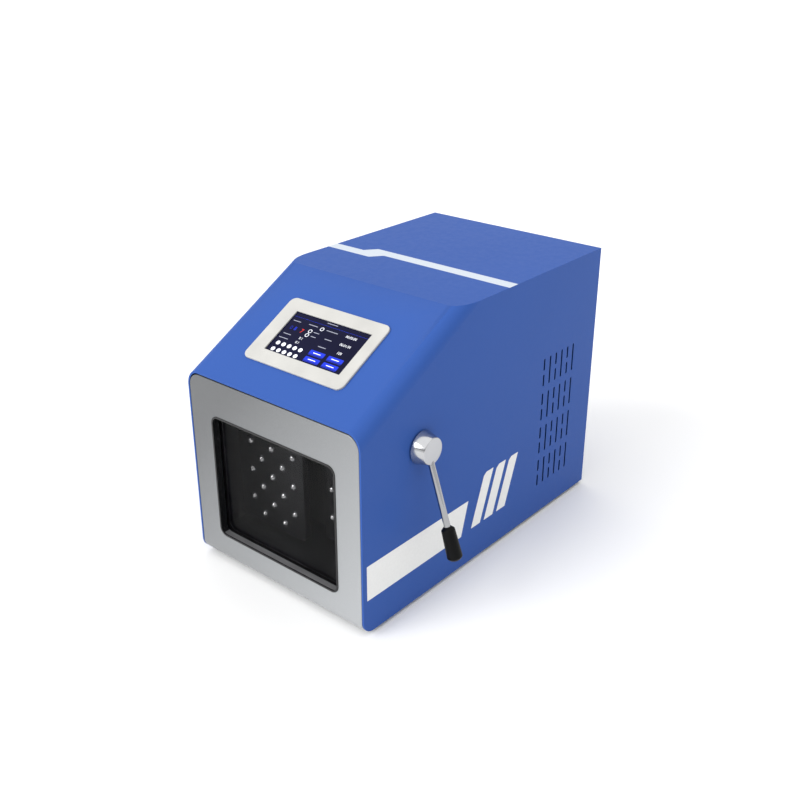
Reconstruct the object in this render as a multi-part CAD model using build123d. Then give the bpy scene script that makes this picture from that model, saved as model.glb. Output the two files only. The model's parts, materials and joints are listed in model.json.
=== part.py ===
"""Paddle blender homogenizer for sample bags, as an assembly of separate pieces.

The frame: the origin lies on the bench under the middle of the housing, +X points to the
operator's right, +Y to the back of the machine and +Z up. The door closed, the lever down and the
left paddle forward are the rest pose. All lengths are in millimetres.
"""

from build123d import *
import math
import os

os.makedirs("parts", exist_ok=True)

# Housing: a bent sheet cover with a sloping panel at the front. Its depth and its height follow
# from the train of parts inside it.
body_width = 250.0
head_space = 54.5
slope_rise = 83.0
slope_run = 151.0
sheet = 2.0
slope_edge_radius = 17.0
toe_radius = 15.0
return_width = 12.0
sheet_gap = 0.3
cutout_gap = 0.2
pan_front_gap = 1.0
pan_lip_setback = 4.0
pan_lip_extra = 4.0
rear_screw_low = 30.0
rear_screw_high = 34.0

# How far a cut runs past the face that it opens, and how close to a place an edge is picked
over = 1.0
near = 0.01

# Feet
foot_height = 4.0
foot_radius = 11.0
foot_taper = 1.0
foot_inset = 35.0
foot_pan_inset = 4.0
foot_bore = 2.2
foot_recess_radius = 5.0
foot_recess_depth = 2.5
foot_head = 1.6
foot_head_gap = 1.0
foot_nut = 3.0
foot_nut_radius = 4.0
foot_screw_end = 1.0

# Cooling slots in both sides: columns of one long slot or two short ones, in stacked groups
vent_width = 3.0
vent_long = 35.0
vent_short = 15.0
vent_columns = 6
vent_column_pitch = 12.35
vent_last_column_from_back = 47.75
vent_groups = 4
vent_group_pitch = 44.0
vent_lowest_group = 56.5

# Display on the sloping panel
screen_width = 107.0
screen_height = 57.0
screen_offset_x = 2.5
screen_recess = 1.6
screen_border = 5.0
screen_gap = 0.3
bezel_side = 17.0
bezel_end = 16.5
bezel_below_middle = 4.55
bezel_corner = 8.0
bezel_rise = 2.4
bezel_lip = 5.0
bezel_edge = 1.0
collar_corner = 5.0
collar_reach = 3.0
display_thickness = 7.0
display_board_gap = 8.0
board_thickness = 1.6
spacer_inset = 5.0
spacer_radius = 3.0
chip_size = 24.0
chip_thickness = 2.0

# Door: a shallow pan that wraps under its own hinge at the foot
door_sheet = 2.0
door_side_gap = 0.6
door_top_gap = 1.7
door_flange = 10.0
door_wrap_angle = 105.0
door_edge_radius = 0.7
hinge_pin_radius = 3.0
hinge_collar_wall = 2.0
hinge_collar_gap = 0.3
hinge_boss_radius = 7.0
hinge_boss_width = 5.0
hinge_plate = 3.0
hinge_side_gap = 1.0
hinge_leg = 14.0
hinge_leg_gap = 10.0
hinge_neck_rise = 2.0
hinge_turn_inset = 2.0
hinge_arm_radius = 4.0
hinge_arm_start_back = 1.2
hinge_arm_start_up = 2.4
hinge_pad = 14.0
hinge_pad_thickness = 3.0
running_gap = 0.05
pin_end = 1.0

# Window in the door
window_side_margin = 16.0
window_above_floor = 5.0
window_above_ceiling = 9.5
window_corner = 10.0
window_gap = 0.2
frame_wall = 2.0
frame_proud = 0.6
frame_depth = 8.0
frame_flange = 8.0
frame_flange_thickness = 2.0
pane_thickness = 4.0
pane_overlap = 2.0
inner_plate = 1.5
inner_plate_side_margin = 4.0
inner_plate_bottom_margin = 5.0
inner_plate_top_margin = 3.0
door_screw_radius = 1.4
door_screw_head_radius = 2.5
door_screw_head = 1.2
door_screw_reach = 6.0

# Chamber for the sample bag. Its width is what the latch and the door leave of the housing's.
chamber_floor = 30.0
chamber_height = 144.5
chamber_depth = 75.0
liner_sheet = 1.5
liner_flange = 3.5
shaft_hole_gap = 1.5
gasket_thickness = 3.0
gasket_corner = 3.0
door_to_gasket = 0.2

# Paddles and the studs on their faces
paddle_gap = 8.0
paddle_side_gap = 1.0
paddle_end_gap = 5.75
paddle_drop = 0.7
paddle_rear_gap = 9.9
paddle_thickness = 8.0
paddle_corner = 6.0
paddle_edge = 0.8
stud_radius = 4.5
stud_base = 0.8
stud_rise = 3.4
stud_end_margin = 13.1
stud_side_margin = 18.0
stud_shift_inwards = 4.0
stud_full_rows = 3

# Guides that carry the paddles
guide_radius = 6.0
guide_half_spacing = 30.0
bearing_plate_thickness = 10.0
bearing_plate_margin = 14.0
bearing_plate_corner = 8.0
bush_wall = 4.0
bush_length = 30.0
bush_flange_radius = 13.0
bush_flange = 2.5
wiper_radius = 12.0
wiper_thickness = 3.5
wiper_gap = 0.1
plate_foot = 24.0
plate_foot_thickness = 6.0
rib_width = 10.0
rib_end = 8.0
rib_gap = 4.0

# Crank train: eccentrics on one shaft push the two paddles in turn
eccentricity = 11.3
crank_radius = 7.5
cam_wall = 3.2
cam_width = 12.0
cam_gap = 0.1
rod_length = 62.0
rod_ring_wall = 6.0
rod_eye_radius = 9.0
rod_web = 12.0
rod_web_step = 2.0
rod_slot = 6.0
rod_slot_depth = 3.0
wrist_radius = 5.0
wrist_end_gap = 0.2
crosshead_thickness = 12.0
crosshead_half_width = 16.0
crosshead_end = 12.0
crosshead_corner = 8.0
crosshead_clearance = 5.0
fork_reach = 34.0
fork_cheek = 6.0
fork_side_gap = 0.5
fork_eye_radius = 10.0
ball_race_radius = 17.5
ball_race_width = 11.0
stand_head_radius = 25.0
stand_waist_half = 20.0
stand_foot_half = 32.0
stand_foot_extra = 8.0
stand_foot_thickness = 6.0
stand_to_pulley = 8.0
shaft_end = 2.0

# Belt drive and motor
pulley_wall_gap = 16.0
pulley_width = 12.0
pulley_rim = 1.5
pulley_rim_width = 0.8
crank_pulley_radius = 38.0
pulley_holes = 6
pulley_hole_radius = 7.0
motor_pulley_radius = 15.2
belt_thickness = 2.5
belt_width = 10.0
belt_slack = 0.2
motor_radius = 45.0
motor_cap = 22.0
motor_waist_step = 2.0
motor_floor_gap = 16.0
motor_shaft_radius = 6.0
motor_shaft_depth = 20.0
motor_plate = 4.0
motor_plate_margin = 3.0
motor_plate_corner = 14.0
motor_plate_foot = 40.0
motor_pilot_radius = 20.0
motor_to_pulley = 6.0
motor_to_stand = 4.5
motor_to_foot = 9.0
motor_to_supply = 20.7

# Lever and latch
lever_before_liner_back = 2.2
latch_block_height = 6.5
hub_height = 16.0
hub_base_radius = 18.5
hub_face_radius = 14.4
hub_edge = 1.2
hub_wall_gap = 0.4
hub_face_wall = 4.0
rod_root = 8.8
rod_tilt = 18.5
rod_radius = 3.5
rod_start = 8.8
grip_start = 84.0
grip_length = 37.0
grip_small_radius = 7.2
grip_large_radius = 8.3
grip_shoulder = 3.0
grip_edge = 1.4
grip_end_wall = 6.0
latch_shaft_radius = 5.0
latch_shaft_end = 4.0
latch_bush_radius = 8.0
latch_bush_flange_radius = 11.0
latch_bush_flange = 1.5
latch_block_width = 7.0
latch_block_radius = 10.0
latch_block_inset = 14.0
latch_block_foot = 8.0
latch_block_foot_thickness = 3.0
hook_thickness = 4.0
hook_nose = 4.5
hook_hub_radius = 10.0
hook_arm_root = 3.0
hook_arm_angle = 14.0
hook_lead_angle = 8.0
hook_gap = 0.3
hook_side_gap = 2.0
striker_radius = 3.0
striker_back = 32.0
striker_above_lever = 14.5
horn_thickness = 3.0
horn_nose_wall = 4.0
horn_tab = 2.0
horn_tab_above = 13.0
horn_tab_below = 16.0
horn_tab_side_gap = 2.0
horn_gap = 1.5
horn_to_flange = 1.4

# Cooling fan
fan_size = 92.0
fan_wall = 3.0
fan_depth = 25.0
fan_corner = 4.0
fan_from_side = 73.0
fan_height = 200.0
fan_hub_radius = 18.0
fan_pin_radius = 2.0
fan_strut_width = 5.0
fan_strut_thickness = 4.0
fan_front_gap = 0.6
fan_back_gap = 2.5
fan_blades = 7
fan_blade_gap = 1.5
fan_blade_root = 2.0
fan_blade_thickness = 1.6
fan_blade_angle = 38.0
fan_hole_inset = 5.0
fan_slot_pitch = 9.0
fan_slot_width = 4.5
fan_slot_inset = 3.0

# Power inlet and power switch
inlet_from_side = 49.0
inlet_height = 46.0
socket_width = 27.5
socket_height = 20.0
socket_depth = 18.0
socket_wall = 1.5
socket_back_wall = 6.0
socket_corner = 2.0
socket_cavity_corner = 3.0
socket_flange_side = 11.25
socket_flange_end = 3.0
socket_flange_corner = 4.0
contact_spread = 7.0
contact_drop = 2.0
contact_width = 2.0
contact_height = 4.0
contact_setback = 8.0
plate_rise = 2.0
switch_to_inlet = 44.0
switch_side_wall = 3.2
switch_end_wall = 1.5
switch_lip = 2.0
switch_corner = 1.0
switch_face_corner = 1.5
switch_depth = 16.0
switch_floor = 2.0
rocker_width = 14.0
rocker_radius = 10.0
rocker_rise = 7.0
rocker_skirt = 3.0
rocker_side_gap = 0.3
rocker_end_gap = 0.5
rocker_pivot_depth = 6.0
rocker_pin_radius = 1.5
rocker_pin_end = 3.0
rocker_swing = 20.0

# Power supply and control board
supply_width = 56.0
supply_height = 96.0
supply_side_gap = 1.0
supply_to_stand = 8.5
supply_to_foot = 7.0
terminal_recess = 14.0
terminal_depth = 12.0
terminal_floor = 6.0
terminal_first = 14.0
terminal_pitch = 16.0
terminal_height = 10.0
terminal_setback = 3.0
board_height = 90.0
board_level = 165.0
board_to_fan = 20.0
board_to_side = 15.0
board_standoff = 12.0
standoff_inset = 5.0
standoff_radius = 3.0
capacitors = 2
capacitor_inset = 22.0
capacitor_pitch = 24.0
capacitor_level = 23.0
capacitor_radius = 9.0
capacitor_length = 24.0
sink_inset = 8.0
sink_width = 24.0
sink_level = 11.0
sink_height = 40.0
sink_depth = 26.0
sink_web = 5.0
sink_grooves = 3
sink_groove = 3.0
sink_fin = 4.0
connector_inset = 8.0
connector_side = 32.0
connector_top = 7.0
connector_height = 12.0
connector_depth = 12.0
screw_radius = 1.7
screw_head_radius = 3.3
screw_head = 1.8
screw_gap = 0.15

# Depths from the front face, from the door through the chamber and the crank to the motor
plate_depth = (frame_depth + pane_thickness + inner_plate + door_to_gasket + gasket_thickness
               + chamber_depth + liner_sheet)
crank_depth = (plate_depth + bush_length + crosshead_clearance + crosshead_thickness + fork_reach
               + rod_length + eccentricity)
motor_plate_half = motor_radius + motor_plate_margin
motor_depth = crank_depth + stand_foot_half + motor_to_stand + motor_plate_half
body_depth = motor_depth + motor_plate_half + motor_to_foot + foot_inset

# Places that follow from the sizes above, first those of the housing and of the door
y_front = -body_depth / 2
y_back = body_depth / 2
panel_back = y_back
panel_front = y_back - sheet
z_base = foot_height
liner_floor_z = z_base + chamber_floor
liner_ceiling_z = liner_floor_z + chamber_height
liner_middle_z = (liner_floor_z + liner_ceiling_z) / 2
z_front_top = liner_ceiling_z + head_space
z_top = z_front_top + slope_rise
half_width = body_width / 2
inner_half = half_width - sheet
return_inner = inner_half - return_width
slope_angle = math.degrees(math.atan2(slope_rise, slope_run))
slope_sin = math.sin(math.radians(slope_angle))
slope_cos = math.cos(math.radians(slope_angle))
slope_plane = Plane(origin=(0, y_front, z_front_top), x_dir=(1, 0, 0), z_dir=(0, -slope_sin, slope_cos))
bezel_width = screen_width + 2 * bezel_side
bezel_height = screen_height + 2 * bezel_end
bezel_up_slope = math.hypot(slope_run, slope_rise) / 2 - bezel_below_middle
screen_top = bezel_rise - screen_recess
hinge_y = y_front + toe_radius
hinge_z = z_base + toe_radius
pan_bottom = z_base + sheet
pan_top = pan_bottom + sheet
pan_front = hinge_y + toe_radius + pan_front_gap
door_half = inner_half - door_side_gap
door_top = z_front_top - sheet / slope_cos - door_top_gap
door_corner = slope_edge_radius - sheet

# Across the machine, from the door's side flange in to the chamber
horn_x = door_half - door_sheet - horn_to_flange - horn_thickness
hook_x = horn_x - horn_gap - hook_thickness
chamber_half = hook_x - hook_side_gap - liner_sheet
hinge_x = chamber_half + liner_flange + hinge_side_gap
window_width = 2 * (chamber_half - window_side_margin)
window_bottom = liner_floor_z + window_above_floor
window_top = liner_ceiling_z + window_above_ceiling
window_height = window_top - window_bottom
window_z = (window_bottom + window_top) / 2
inner_plate_y = y_front + frame_depth + pane_thickness

# Chamber, paddles and crank train
liner_front = inner_plate_y + inner_plate + door_to_gasket + gasket_thickness
liner_back = liner_front + chamber_depth
plate_y = y_front + plate_depth
stroke = 2 * eccentricity
paddle_width = chamber_half - paddle_side_gap - paddle_gap / 2
paddle_height = chamber_height - 2 * paddle_end_gap
paddle_x = (paddle_gap + paddle_width) / 2
paddle_z = liner_middle_z - paddle_drop
paddle_forward_y = liner_back - wiper_thickness - paddle_rear_gap - stroke - paddle_thickness
stud_pitch_x = (paddle_width - 2 * stud_side_margin) / 2
stud_pitch_z = (paddle_height - 2 * stud_end_margin) / stud_full_rows
crosshead_forward_y = plate_y + bush_length + crosshead_clearance
cam_radius = eccentricity + crank_radius + cam_wall
crank_y = y_front + crank_depth
crank_z = paddle_z
pulley_position = inner_half - pulley_wall_gap - pulley_width / 2
stand_position = pulley_position - pulley_width / 2 - stand_to_pulley - ball_race_width / 2

# Lever and latch
lever_y = liner_back - lever_before_liner_back
lever_z = liner_ceiling_z + liner_sheet + latch_block_height
lever_reach = grip_start + grip_length
striker_y = y_front + striker_back
striker_z = lever_z + striker_above_lever

# Motor and electrics
motor_y = y_front + motor_depth
motor_z = pan_top + motor_radius + motor_floor_gap
motor_front = -pulley_position + pulley_width / 2 + motor_to_pulley + motor_plate
supply_right = inner_half - sheet_gap - sheet - supply_side_gap
supply_left = supply_right - supply_width
supply_front = crank_y + stand_foot_half + supply_to_stand
supply_back = y_back - foot_inset - supply_to_foot
motor_length = supply_left - motor_to_supply - motor_front
fan_x = fan_from_side - inner_half
fan_z = z_base + fan_height
fan_bore_radius = fan_size / 2 - fan_wall
inlet_x = inner_half - inlet_from_side
inlet_z = z_base + inlet_height
switch_x = inlet_x - switch_to_inlet
switch_width = rocker_width + 2 * (rocker_side_gap + switch_side_wall)
switch_height = 2 * (rocker_radius + rocker_end_gap + switch_end_wall)
rocker_pivot_y = panel_back - rocker_pivot_depth
board_left = fan_x + fan_size / 2 + board_to_fan
board_right = inner_half - board_to_side
board_z = z_base + board_level


def block(x0, x1, y0, y1, z0, z1):
    """A box between two values along each axis."""
    return Pos((x0 + x1) / 2, (y0 + y1) / 2, (z0 + z1) / 2) * Box(x1 - x0, y1 - y0, z1 - z0)


def along_x(sketch, x0, x1):
    """Extrude a sketch drawn in (y, z) from x0 to x1."""
    return extrude(Plane.YZ.offset(x0) * sketch, x1 - x0, dir=(1, 0, 0))


def along_y(sketch, y0, y1):
    """Extrude a sketch drawn in (x, z) from y0 to y1."""
    return extrude(Plane.XZ.offset(-y0) * sketch, y1 - y0, dir=(0, 1, 0))


def along_z(sketch, z0, z1):
    """Extrude a sketch drawn in (x, y) from z0 to z1."""
    return extrude(Plane.XY.offset(z0) * sketch, z1 - z0, dir=(0, 0, 1))


def on_slope(sketch, low, high):
    """Extrude a sketch drawn on the sloping panel, (across, up the slope), between two heights."""
    lifted = slope_plane.offset(low)
    return extrude(lifted * sketch, high - low, dir=lifted.z_dir)


def both_sides(part):
    """A part with its mirror image on the other side of the machine."""
    return part + mirror(part, about=Plane.YZ)


def disc(a, b, radius):
    """A circle at (a, b) of a sketch."""
    return Pos(a, b) * Circle(radius)


def rectangle(a0, a1, b0, b1):
    """A rectangle of a sketch between two values along each of its axes."""
    return Pos((a0 + a1) / 2, (b0 + b1) / 2) * Rectangle(a1 - a0, b1 - b0)


def rounded(a, b, width, height, radius):
    """A rounded rectangle centred at (a, b) of a sketch."""
    return Pos(a, b) * RectangleRounded(width, height, radius)


def wedge(a, b, radius, start, end):
    """A triangle fan from (a, b) that covers the directions between two angles, in degrees."""
    steps = max(2, math.ceil((end - start) / 45))
    reach = radius / math.cos(math.radians((end - start) / steps / 2))
    points = [(a, b)]
    for step in range(steps + 1):
        turn = math.radians(start + (end - start) * step / steps)
        points.append((a + reach * math.cos(turn), b + reach * math.sin(turn)))
    return Polygon(*points)


def ring_sector(a, b, inner, outer, start, end):
    """The part of a ring about (a, b) that lies between two angles, in degrees."""
    return (disc(a, b, outer) - disc(a, b, inner)) & wedge(a, b, outer, start, end)


# Housing

def side_outline(inset, overrun):
    """The housing seen from the side, in (y, z), shrunk by inset and run out past its open ends."""
    front = y_front - overrun
    back = y_back + overrun
    bottom = z_base - overrun
    rise = (z_top - z_front_top) / slope_run
    lowered = inset / slope_cos
    slope_at_front = z_front_top - lowered - overrun * rise
    break_y = y_front + slope_run + (lowered - inset) / rise
    return Polygon((front, bottom), (back, bottom), (back, z_top - inset), (break_y, z_top - inset),
                   (front, slope_at_front))


def slope_side_edges(solid, half):
    """The two edges where the sloping panel meets the sides."""
    found = []
    for edge in solid.edges():
        direction = edge % 0.5
        rises = abs(abs(direction.Z) - slope_sin) < near and abs(abs(direction.Y) - slope_cos) < near
        if rises and abs(abs(edge.center().X) - half) < near:
            found.append(edge)
    return found


def vent_slots():
    """Sketch in (y, z) of the cooling slots of one side."""
    slots = Sketch()
    short_offset = (vent_long - vent_short) / 2
    for column in range(vent_columns):
        y = y_back - vent_last_column_from_back - column * vent_column_pitch
        for group in range(vent_groups):
            z = z_base + vent_lowest_group + group * vent_group_pitch
            if column % 2 == 0:
                slots += Pos(y, z) * SlotOverall(vent_long, vent_width, rotation=90)
            else:
                slots += Pos(y, z - short_offset) * SlotOverall(vent_short, vent_width, rotation=90)
                slots += Pos(y, z + short_offset) * SlotOverall(vent_short, vent_width, rotation=90)
    return slots


def rear_screw_places():
    """(x, z) of the screws round the rear panel."""
    side_x = inner_half - return_width / 2
    low = pan_top + return_width / 2
    high = z_top - sheet - return_width / 2
    places = []
    for x in (-side_x, side_x):
        for z in (low + rear_screw_low, (low + high) / 2, high - rear_screw_high):
            places.append((x, z))
    for x in (-side_x / 2, side_x / 2):
        places.append((x, high))
        places.append((x, low))
    return places


def housing_shell():
    """Cover of bent sheet: two sides, the slope and the top, with return edges inside."""
    solid = along_x(side_outline(0, 0), -half_width, half_width)
    toes = [edge for edge in solid.edges()
            if abs(edge.center().Y - y_front) < near and abs(edge.center().Z - z_base) < near]
    solid = fillet(toes, toe_radius)
    solid = fillet(slope_side_edges(solid, half_width), slope_edge_radius)
    hollow = along_x(side_outline(sheet, 2 * toe_radius), -inner_half, inner_half)
    hollow = fillet(slope_side_edges(hollow, inner_half), slope_edge_radius - sheet)
    shell = solid - hollow
    shell -= along_x(vent_slots(), -half_width - over, half_width + over)
    display_hole = rounded(0, bezel_up_slope, bezel_width - 2 * bezel_lip, bezel_height - 2 * bezel_lip,
                           collar_corner)
    shell -= on_slope(display_hole, -sheet - over, over)
    shell -= along_x(disc(lever_y, lever_z, latch_bush_radius), inner_half - over, half_width + over)
    bottom_return = block(return_inner, inner_half, pan_front, panel_front, z_base, z_base + sheet)
    shell += both_sides(bottom_return)
    back_outer = rectangle(-inner_half, inner_half, z_base, z_top - sheet)
    back_inner = rectangle(-return_inner, return_inner, z_base - over, z_top - sheet - return_width)
    back_return = along_y(back_outer - back_inner, panel_front - sheet, panel_front)
    for x, z in rear_screw_places():
        hole = disc(x, z, screw_radius + screw_gap)
        back_return -= along_y(hole, panel_front - sheet - over, panel_front + over)
    return shell + back_return


def base_pan():
    """Floor of the machine, resting on the returns of the cover, with edges turned up."""
    half = inner_half - sheet_gap
    back = panel_front - sheet - sheet_gap
    lip_top = pan_top + return_width + pan_lip_extra
    pan = block(-half, half, pan_front, back, pan_bottom, pan_top)
    pan += both_sides(block(half - sheet, half, pan_front + pan_lip_setback, back, pan_bottom, lip_top))
    lip_half = return_inner - sheet_gap
    pan += block(-lip_half, lip_half, back, panel_front, pan_bottom, lip_top)
    for x, y in foot_places():
        pan -= along_z(disc(x, y, foot_bore), pan_bottom - over, pan_top + over)
    for x, z in rear_screw_places():
        if z < lip_top:
            pan -= along_y(disc(x, z, screw_radius + screw_gap), back - over, panel_front + over)
    return pan


def fan_slots():
    """Sketch in (x, z) of the finger-safe air slots over the fan."""
    slots = Sketch()
    reach = fan_bore_radius - fan_slot_inset
    rows = math.floor((reach - fan_slot_width / 2) / fan_slot_pitch)
    for row in range(-rows, rows + 1):
        offset = row * fan_slot_pitch
        half_chord = math.sqrt(reach ** 2 - offset ** 2)
        slots += Pos(fan_x, fan_z + offset) * SlotOverall(2 * half_chord, fan_slot_width)
    return slots


def fan_screw_places():
    """(x, z) of the fan's four screws."""
    offset = fan_size / 2 - fan_hole_inset
    return [(fan_x + a * offset, fan_z + b * offset) for a in (-1, 1) for b in (-1, 1)]


def rear_panel():
    """Flat panel that closes the back, cut for air, the power inlet and the power switch."""
    half = inner_half - sheet_gap
    outline = rectangle(-half, half, z_base + sheet_gap, z_top - sheet - sheet_gap)
    outline -= fan_slots()
    outline -= rounded(inlet_x, inlet_z, socket_width + 2 * cutout_gap, socket_height + 2 * cutout_gap,
                       socket_corner)
    outline -= rounded(switch_x, inlet_z, switch_width + 2 * cutout_gap, switch_height + 2 * cutout_gap,
                       switch_corner)
    for x, z in rear_screw_places() + fan_screw_places():
        outline -= disc(x, z, screw_radius + screw_gap)
    return along_y(outline, panel_front, panel_back)


def rear_screws():
    """Button head screws round the rear panel and at the fan."""
    screws = Part()
    for x, z in rear_screw_places() + fan_screw_places():
        screws += along_y(disc(x, z, screw_head_radius), panel_back, panel_back + screw_head)
        screws += along_y(disc(x, z, screw_radius), panel_front - sheet, panel_back)
    return screws


def foot_places():
    """(x, y) of the four feet."""
    x = half_width - foot_inset
    front = pan_front + foot_pan_inset
    back = y_back - foot_inset
    return [(-x, front), (x, front), (-x, back), (x, back)]


def rubber_feet():
    """Four tapered rubber feet with a recess for the screw."""
    feet = Part()
    for x, y in foot_places():
        cone = Pos(x, y, pan_bottom / 2) * Cone(foot_radius - foot_taper, foot_radius, pan_bottom)
        cone -= along_z(disc(x, y, foot_recess_radius), -over, foot_recess_depth)
        cone -= along_z(disc(x, y, foot_bore), -over, pan_bottom + over)
        feet += cone
    return feet


def foot_screws():
    """Screw and nut of each foot."""
    parts = Part()
    head_radius = foot_recess_radius - foot_head_gap
    for x, y in foot_places():
        screw = along_z(disc(x, y, head_radius), foot_recess_depth - foot_head, foot_recess_depth)
        screw += along_z(disc(x, y, foot_bore - screw_gap), foot_recess_depth,
                         pan_top + foot_nut + foot_screw_end)
        hexagon = Pos(x, y) * RegularPolygon(foot_nut_radius, 6) - disc(x, y, foot_bore)
        parts += screw
        parts += along_z(hexagon, pan_top, pan_top + foot_nut)
    return parts


# Display

def screen_outline(margin):
    """Sketch on the slope of the screen, widened by a margin all round."""
    across = screen_width / 2 + margin
    up = screen_height / 2 + margin
    return rectangle(screen_offset_x - across, screen_offset_x + across,
                     bezel_up_slope - up, bezel_up_slope + up)


def display_bezel():
    """Raised plastic frame round the screen, with a collar through the panel."""
    outer = rounded(0, bezel_up_slope, bezel_width, bezel_height, bezel_corner)
    collar = rounded(0, bezel_up_slope, bezel_width - 2 * (bezel_lip + cutout_gap),
                     bezel_height - 2 * (bezel_lip + cutout_gap), collar_corner)
    collar_depth = sheet + collar_reach
    plate = on_slope(outer, 0, bezel_rise)
    top_face = plate.faces().sort_by(Axis(slope_plane.origin, slope_plane.z_dir))[-1]
    plate = fillet(top_face.edges(), bezel_edge)
    body = plate + on_slope(collar, -collar_depth, 0)
    body -= on_slope(screen_outline(0), screen_top - over, bezel_rise + over)
    body -= on_slope(screen_outline(screen_border), -collar_depth - over, screen_top)
    return body


def display_panel():
    """Touch screen module in the pocket of its frame."""
    outline = screen_outline(screen_border - screen_gap)
    return on_slope(outline, screen_top - display_thickness, screen_top)


def display_board():
    """Circuit board behind the touch screen, on four spacers."""
    spacer_top = screen_top - display_thickness
    board_top = spacer_top - display_board_gap
    board_low = board_top - board_thickness
    board = on_slope(screen_outline(0), board_low, board_top)
    across = screen_width / 2 - spacer_inset
    up = screen_height / 2 - spacer_inset
    for a in (-across, across):
        for b in (-up, up):
            spacer = disc(screen_offset_x + a, bezel_up_slope + b, spacer_radius)
            board += on_slope(spacer, board_top, spacer_top)
    chip = Pos(screen_offset_x, bezel_up_slope) * Rectangle(chip_size, chip_size)
    return board + on_slope(chip, board_low - chip_thickness, board_low)


# Door

def door_panel():
    """Front pan of the door: face, two side flanges, top flange and a foot curled about the hinge."""
    face_outline = rectangle(-door_half, door_half, hinge_z, door_top)
    face_outline = fillet(face_outline.vertices().group_by(Axis.Y)[-1], door_corner)
    face = along_y(face_outline, y_front, y_front + door_sheet)
    front_edges = face.faces().sort_by(Axis.Y)[0].edges()
    rim = [edge for edge in front_edges if edge.center().Z > hinge_z + near]
    face = fillet(rim, door_edge_radius)
    curl = ring_sector(hinge_y, hinge_z, toe_radius - door_sheet, toe_radius, 180, 180 + door_wrap_angle)
    door = face + along_x(curl, -door_half, door_half)
    flange = rectangle(y_front + door_sheet / 2, y_front + door_flange, hinge_z, door_top - door_corner)
    flange += disc(hinge_y, hinge_z, toe_radius - door_sheet / 2)
    door += both_sides(along_x(flange, door_half - door_sheet, door_half))
    top_half = door_half - door_corner
    door += block(-top_half, top_half, y_front + door_sheet / 2, y_front + door_flange,
                  door_top - door_sheet, door_top)
    opening = rounded(0, window_z, window_width, window_height, window_corner)
    door -= along_y(opening, y_front - over, y_front + door_sheet + over)
    door -= along_x(disc(hinge_y, hinge_z, hinge_pin_radius), -door_half - over, door_half + over)
    return door


def window_ring(outside, inside, y0, y1):
    """Ring that follows the window, from inside to outside of its edge, between two depths."""
    outer = rounded(0, window_z, window_width + 2 * outside, window_height + 2 * outside,
                    window_corner + outside)
    inner = rounded(0, window_z, window_width + 2 * inside, window_height + 2 * inside,
                    window_corner + inside)
    return along_y(outer - inner, y0, y1)


def door_screw_places():
    """(x, z) of the screws that clamp the pane."""
    side_x = window_width / 2 + frame_flange - door_screw_head_radius
    top_z = window_top + frame_flange - door_screw_head_radius
    reach = chamber_height / 2 - 3 * door_screw_head_radius
    places = []
    for side in (-1, 1):
        for up in (-1, 0, 1):
            places.append((side * side_x, liner_middle_z + up * reach))
        places.append((side * window_width / 4, top_z))
    return places


def window_frame():
    """Black moulded frame through the door, with a flange and screw posts behind it."""
    flange_front = y_front + door_sheet
    frame = window_ring(-window_gap, -window_gap - frame_wall, y_front - frame_proud,
                        y_front + frame_depth)
    frame += window_ring(frame_flange, -window_gap - frame_wall / 2, flange_front,
                         flange_front + frame_flange_thickness)
    for x, z in door_screw_places():
        post = disc(x, z, door_screw_head_radius) - disc(x, z, door_screw_radius)
        frame += along_y(post, flange_front + frame_flange_thickness / 2, inner_plate_y)
        frame -= along_y(disc(x, z, door_screw_radius), flange_front - over, inner_plate_y + over)
    return frame


def window_pane():
    """Tinted safety pane behind the frame."""
    outline = rounded(0, window_z, window_width + 2 * pane_overlap, window_height + 2 * pane_overlap,
                      window_corner)
    return along_y(outline, y_front + frame_depth, inner_plate_y)


def door_inner_plate():
    """Inner plate that clamps the pane and meets the chamber seal."""
    half = chamber_half + inner_plate_side_margin
    bottom = liner_floor_z - inner_plate_bottom_margin
    top = window_top + frame_flange + inner_plate_top_margin
    outline = rectangle(-half, half, bottom, top)
    inside = -window_gap - frame_wall
    outline -= rounded(0, window_z, window_width + 2 * inside, window_height + 2 * inside,
                       window_corner + inside)
    for x, z in door_screw_places():
        outline -= disc(x, z, door_screw_radius)
    return along_y(outline, inner_plate_y, inner_plate_y + inner_plate)


def door_screws():
    """Screws through the inner plate into the posts of the frame."""
    screws = Part()
    head_y = inner_plate_y + inner_plate
    for x, z in door_screw_places():
        screws += along_y(disc(x, z, door_screw_head_radius), head_y, head_y + door_screw_head)
        screws += along_y(disc(x, z, door_screw_radius), inner_plate_y - door_screw_reach, head_y)
    return screws


def striker_horns():
    """Brackets behind the door that carry the striker pins."""
    tab_bottom = striker_z - horn_tab_below
    tab_top = striker_z + horn_tab_above
    root_y = y_front + door_sheet
    tab_back = root_y + horn_tab
    arm = make_hull([*disc(striker_y, striker_z, striker_radius + horn_nose_wall).edges(),
                     *rectangle(root_y, tab_back, tab_bottom, tab_top).edges()])
    arm -= disc(striker_y, striker_z, striker_radius)
    horn = along_x(arm, horn_x, horn_x + horn_thickness)
    tab_inner = window_width / 2 + frame_flange + horn_tab_side_gap
    horn += block(tab_inner, horn_x + horn_thickness, root_y, tab_back, tab_bottom, tab_top)
    return both_sides(horn)


def striker_pins():
    """Pins that the latch hooks catch."""
    pin = along_x(disc(striker_y, striker_z, striker_radius), hook_x - pin_end, horn_x + horn_thickness)
    return both_sides(pin)


def hinge_pins():
    """Pins fixed in the door's side flanges, with a collar inside."""
    pin = along_x(disc(hinge_y, hinge_z, hinge_pin_radius), hinge_x - pin_end, door_half)
    collar = disc(hinge_y, hinge_z, hinge_pin_radius + hinge_collar_wall)
    collar_start = hinge_x + hinge_boss_width + hinge_collar_gap
    pin += along_x(collar, collar_start, door_half - door_sheet)
    return both_sides(pin)


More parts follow.
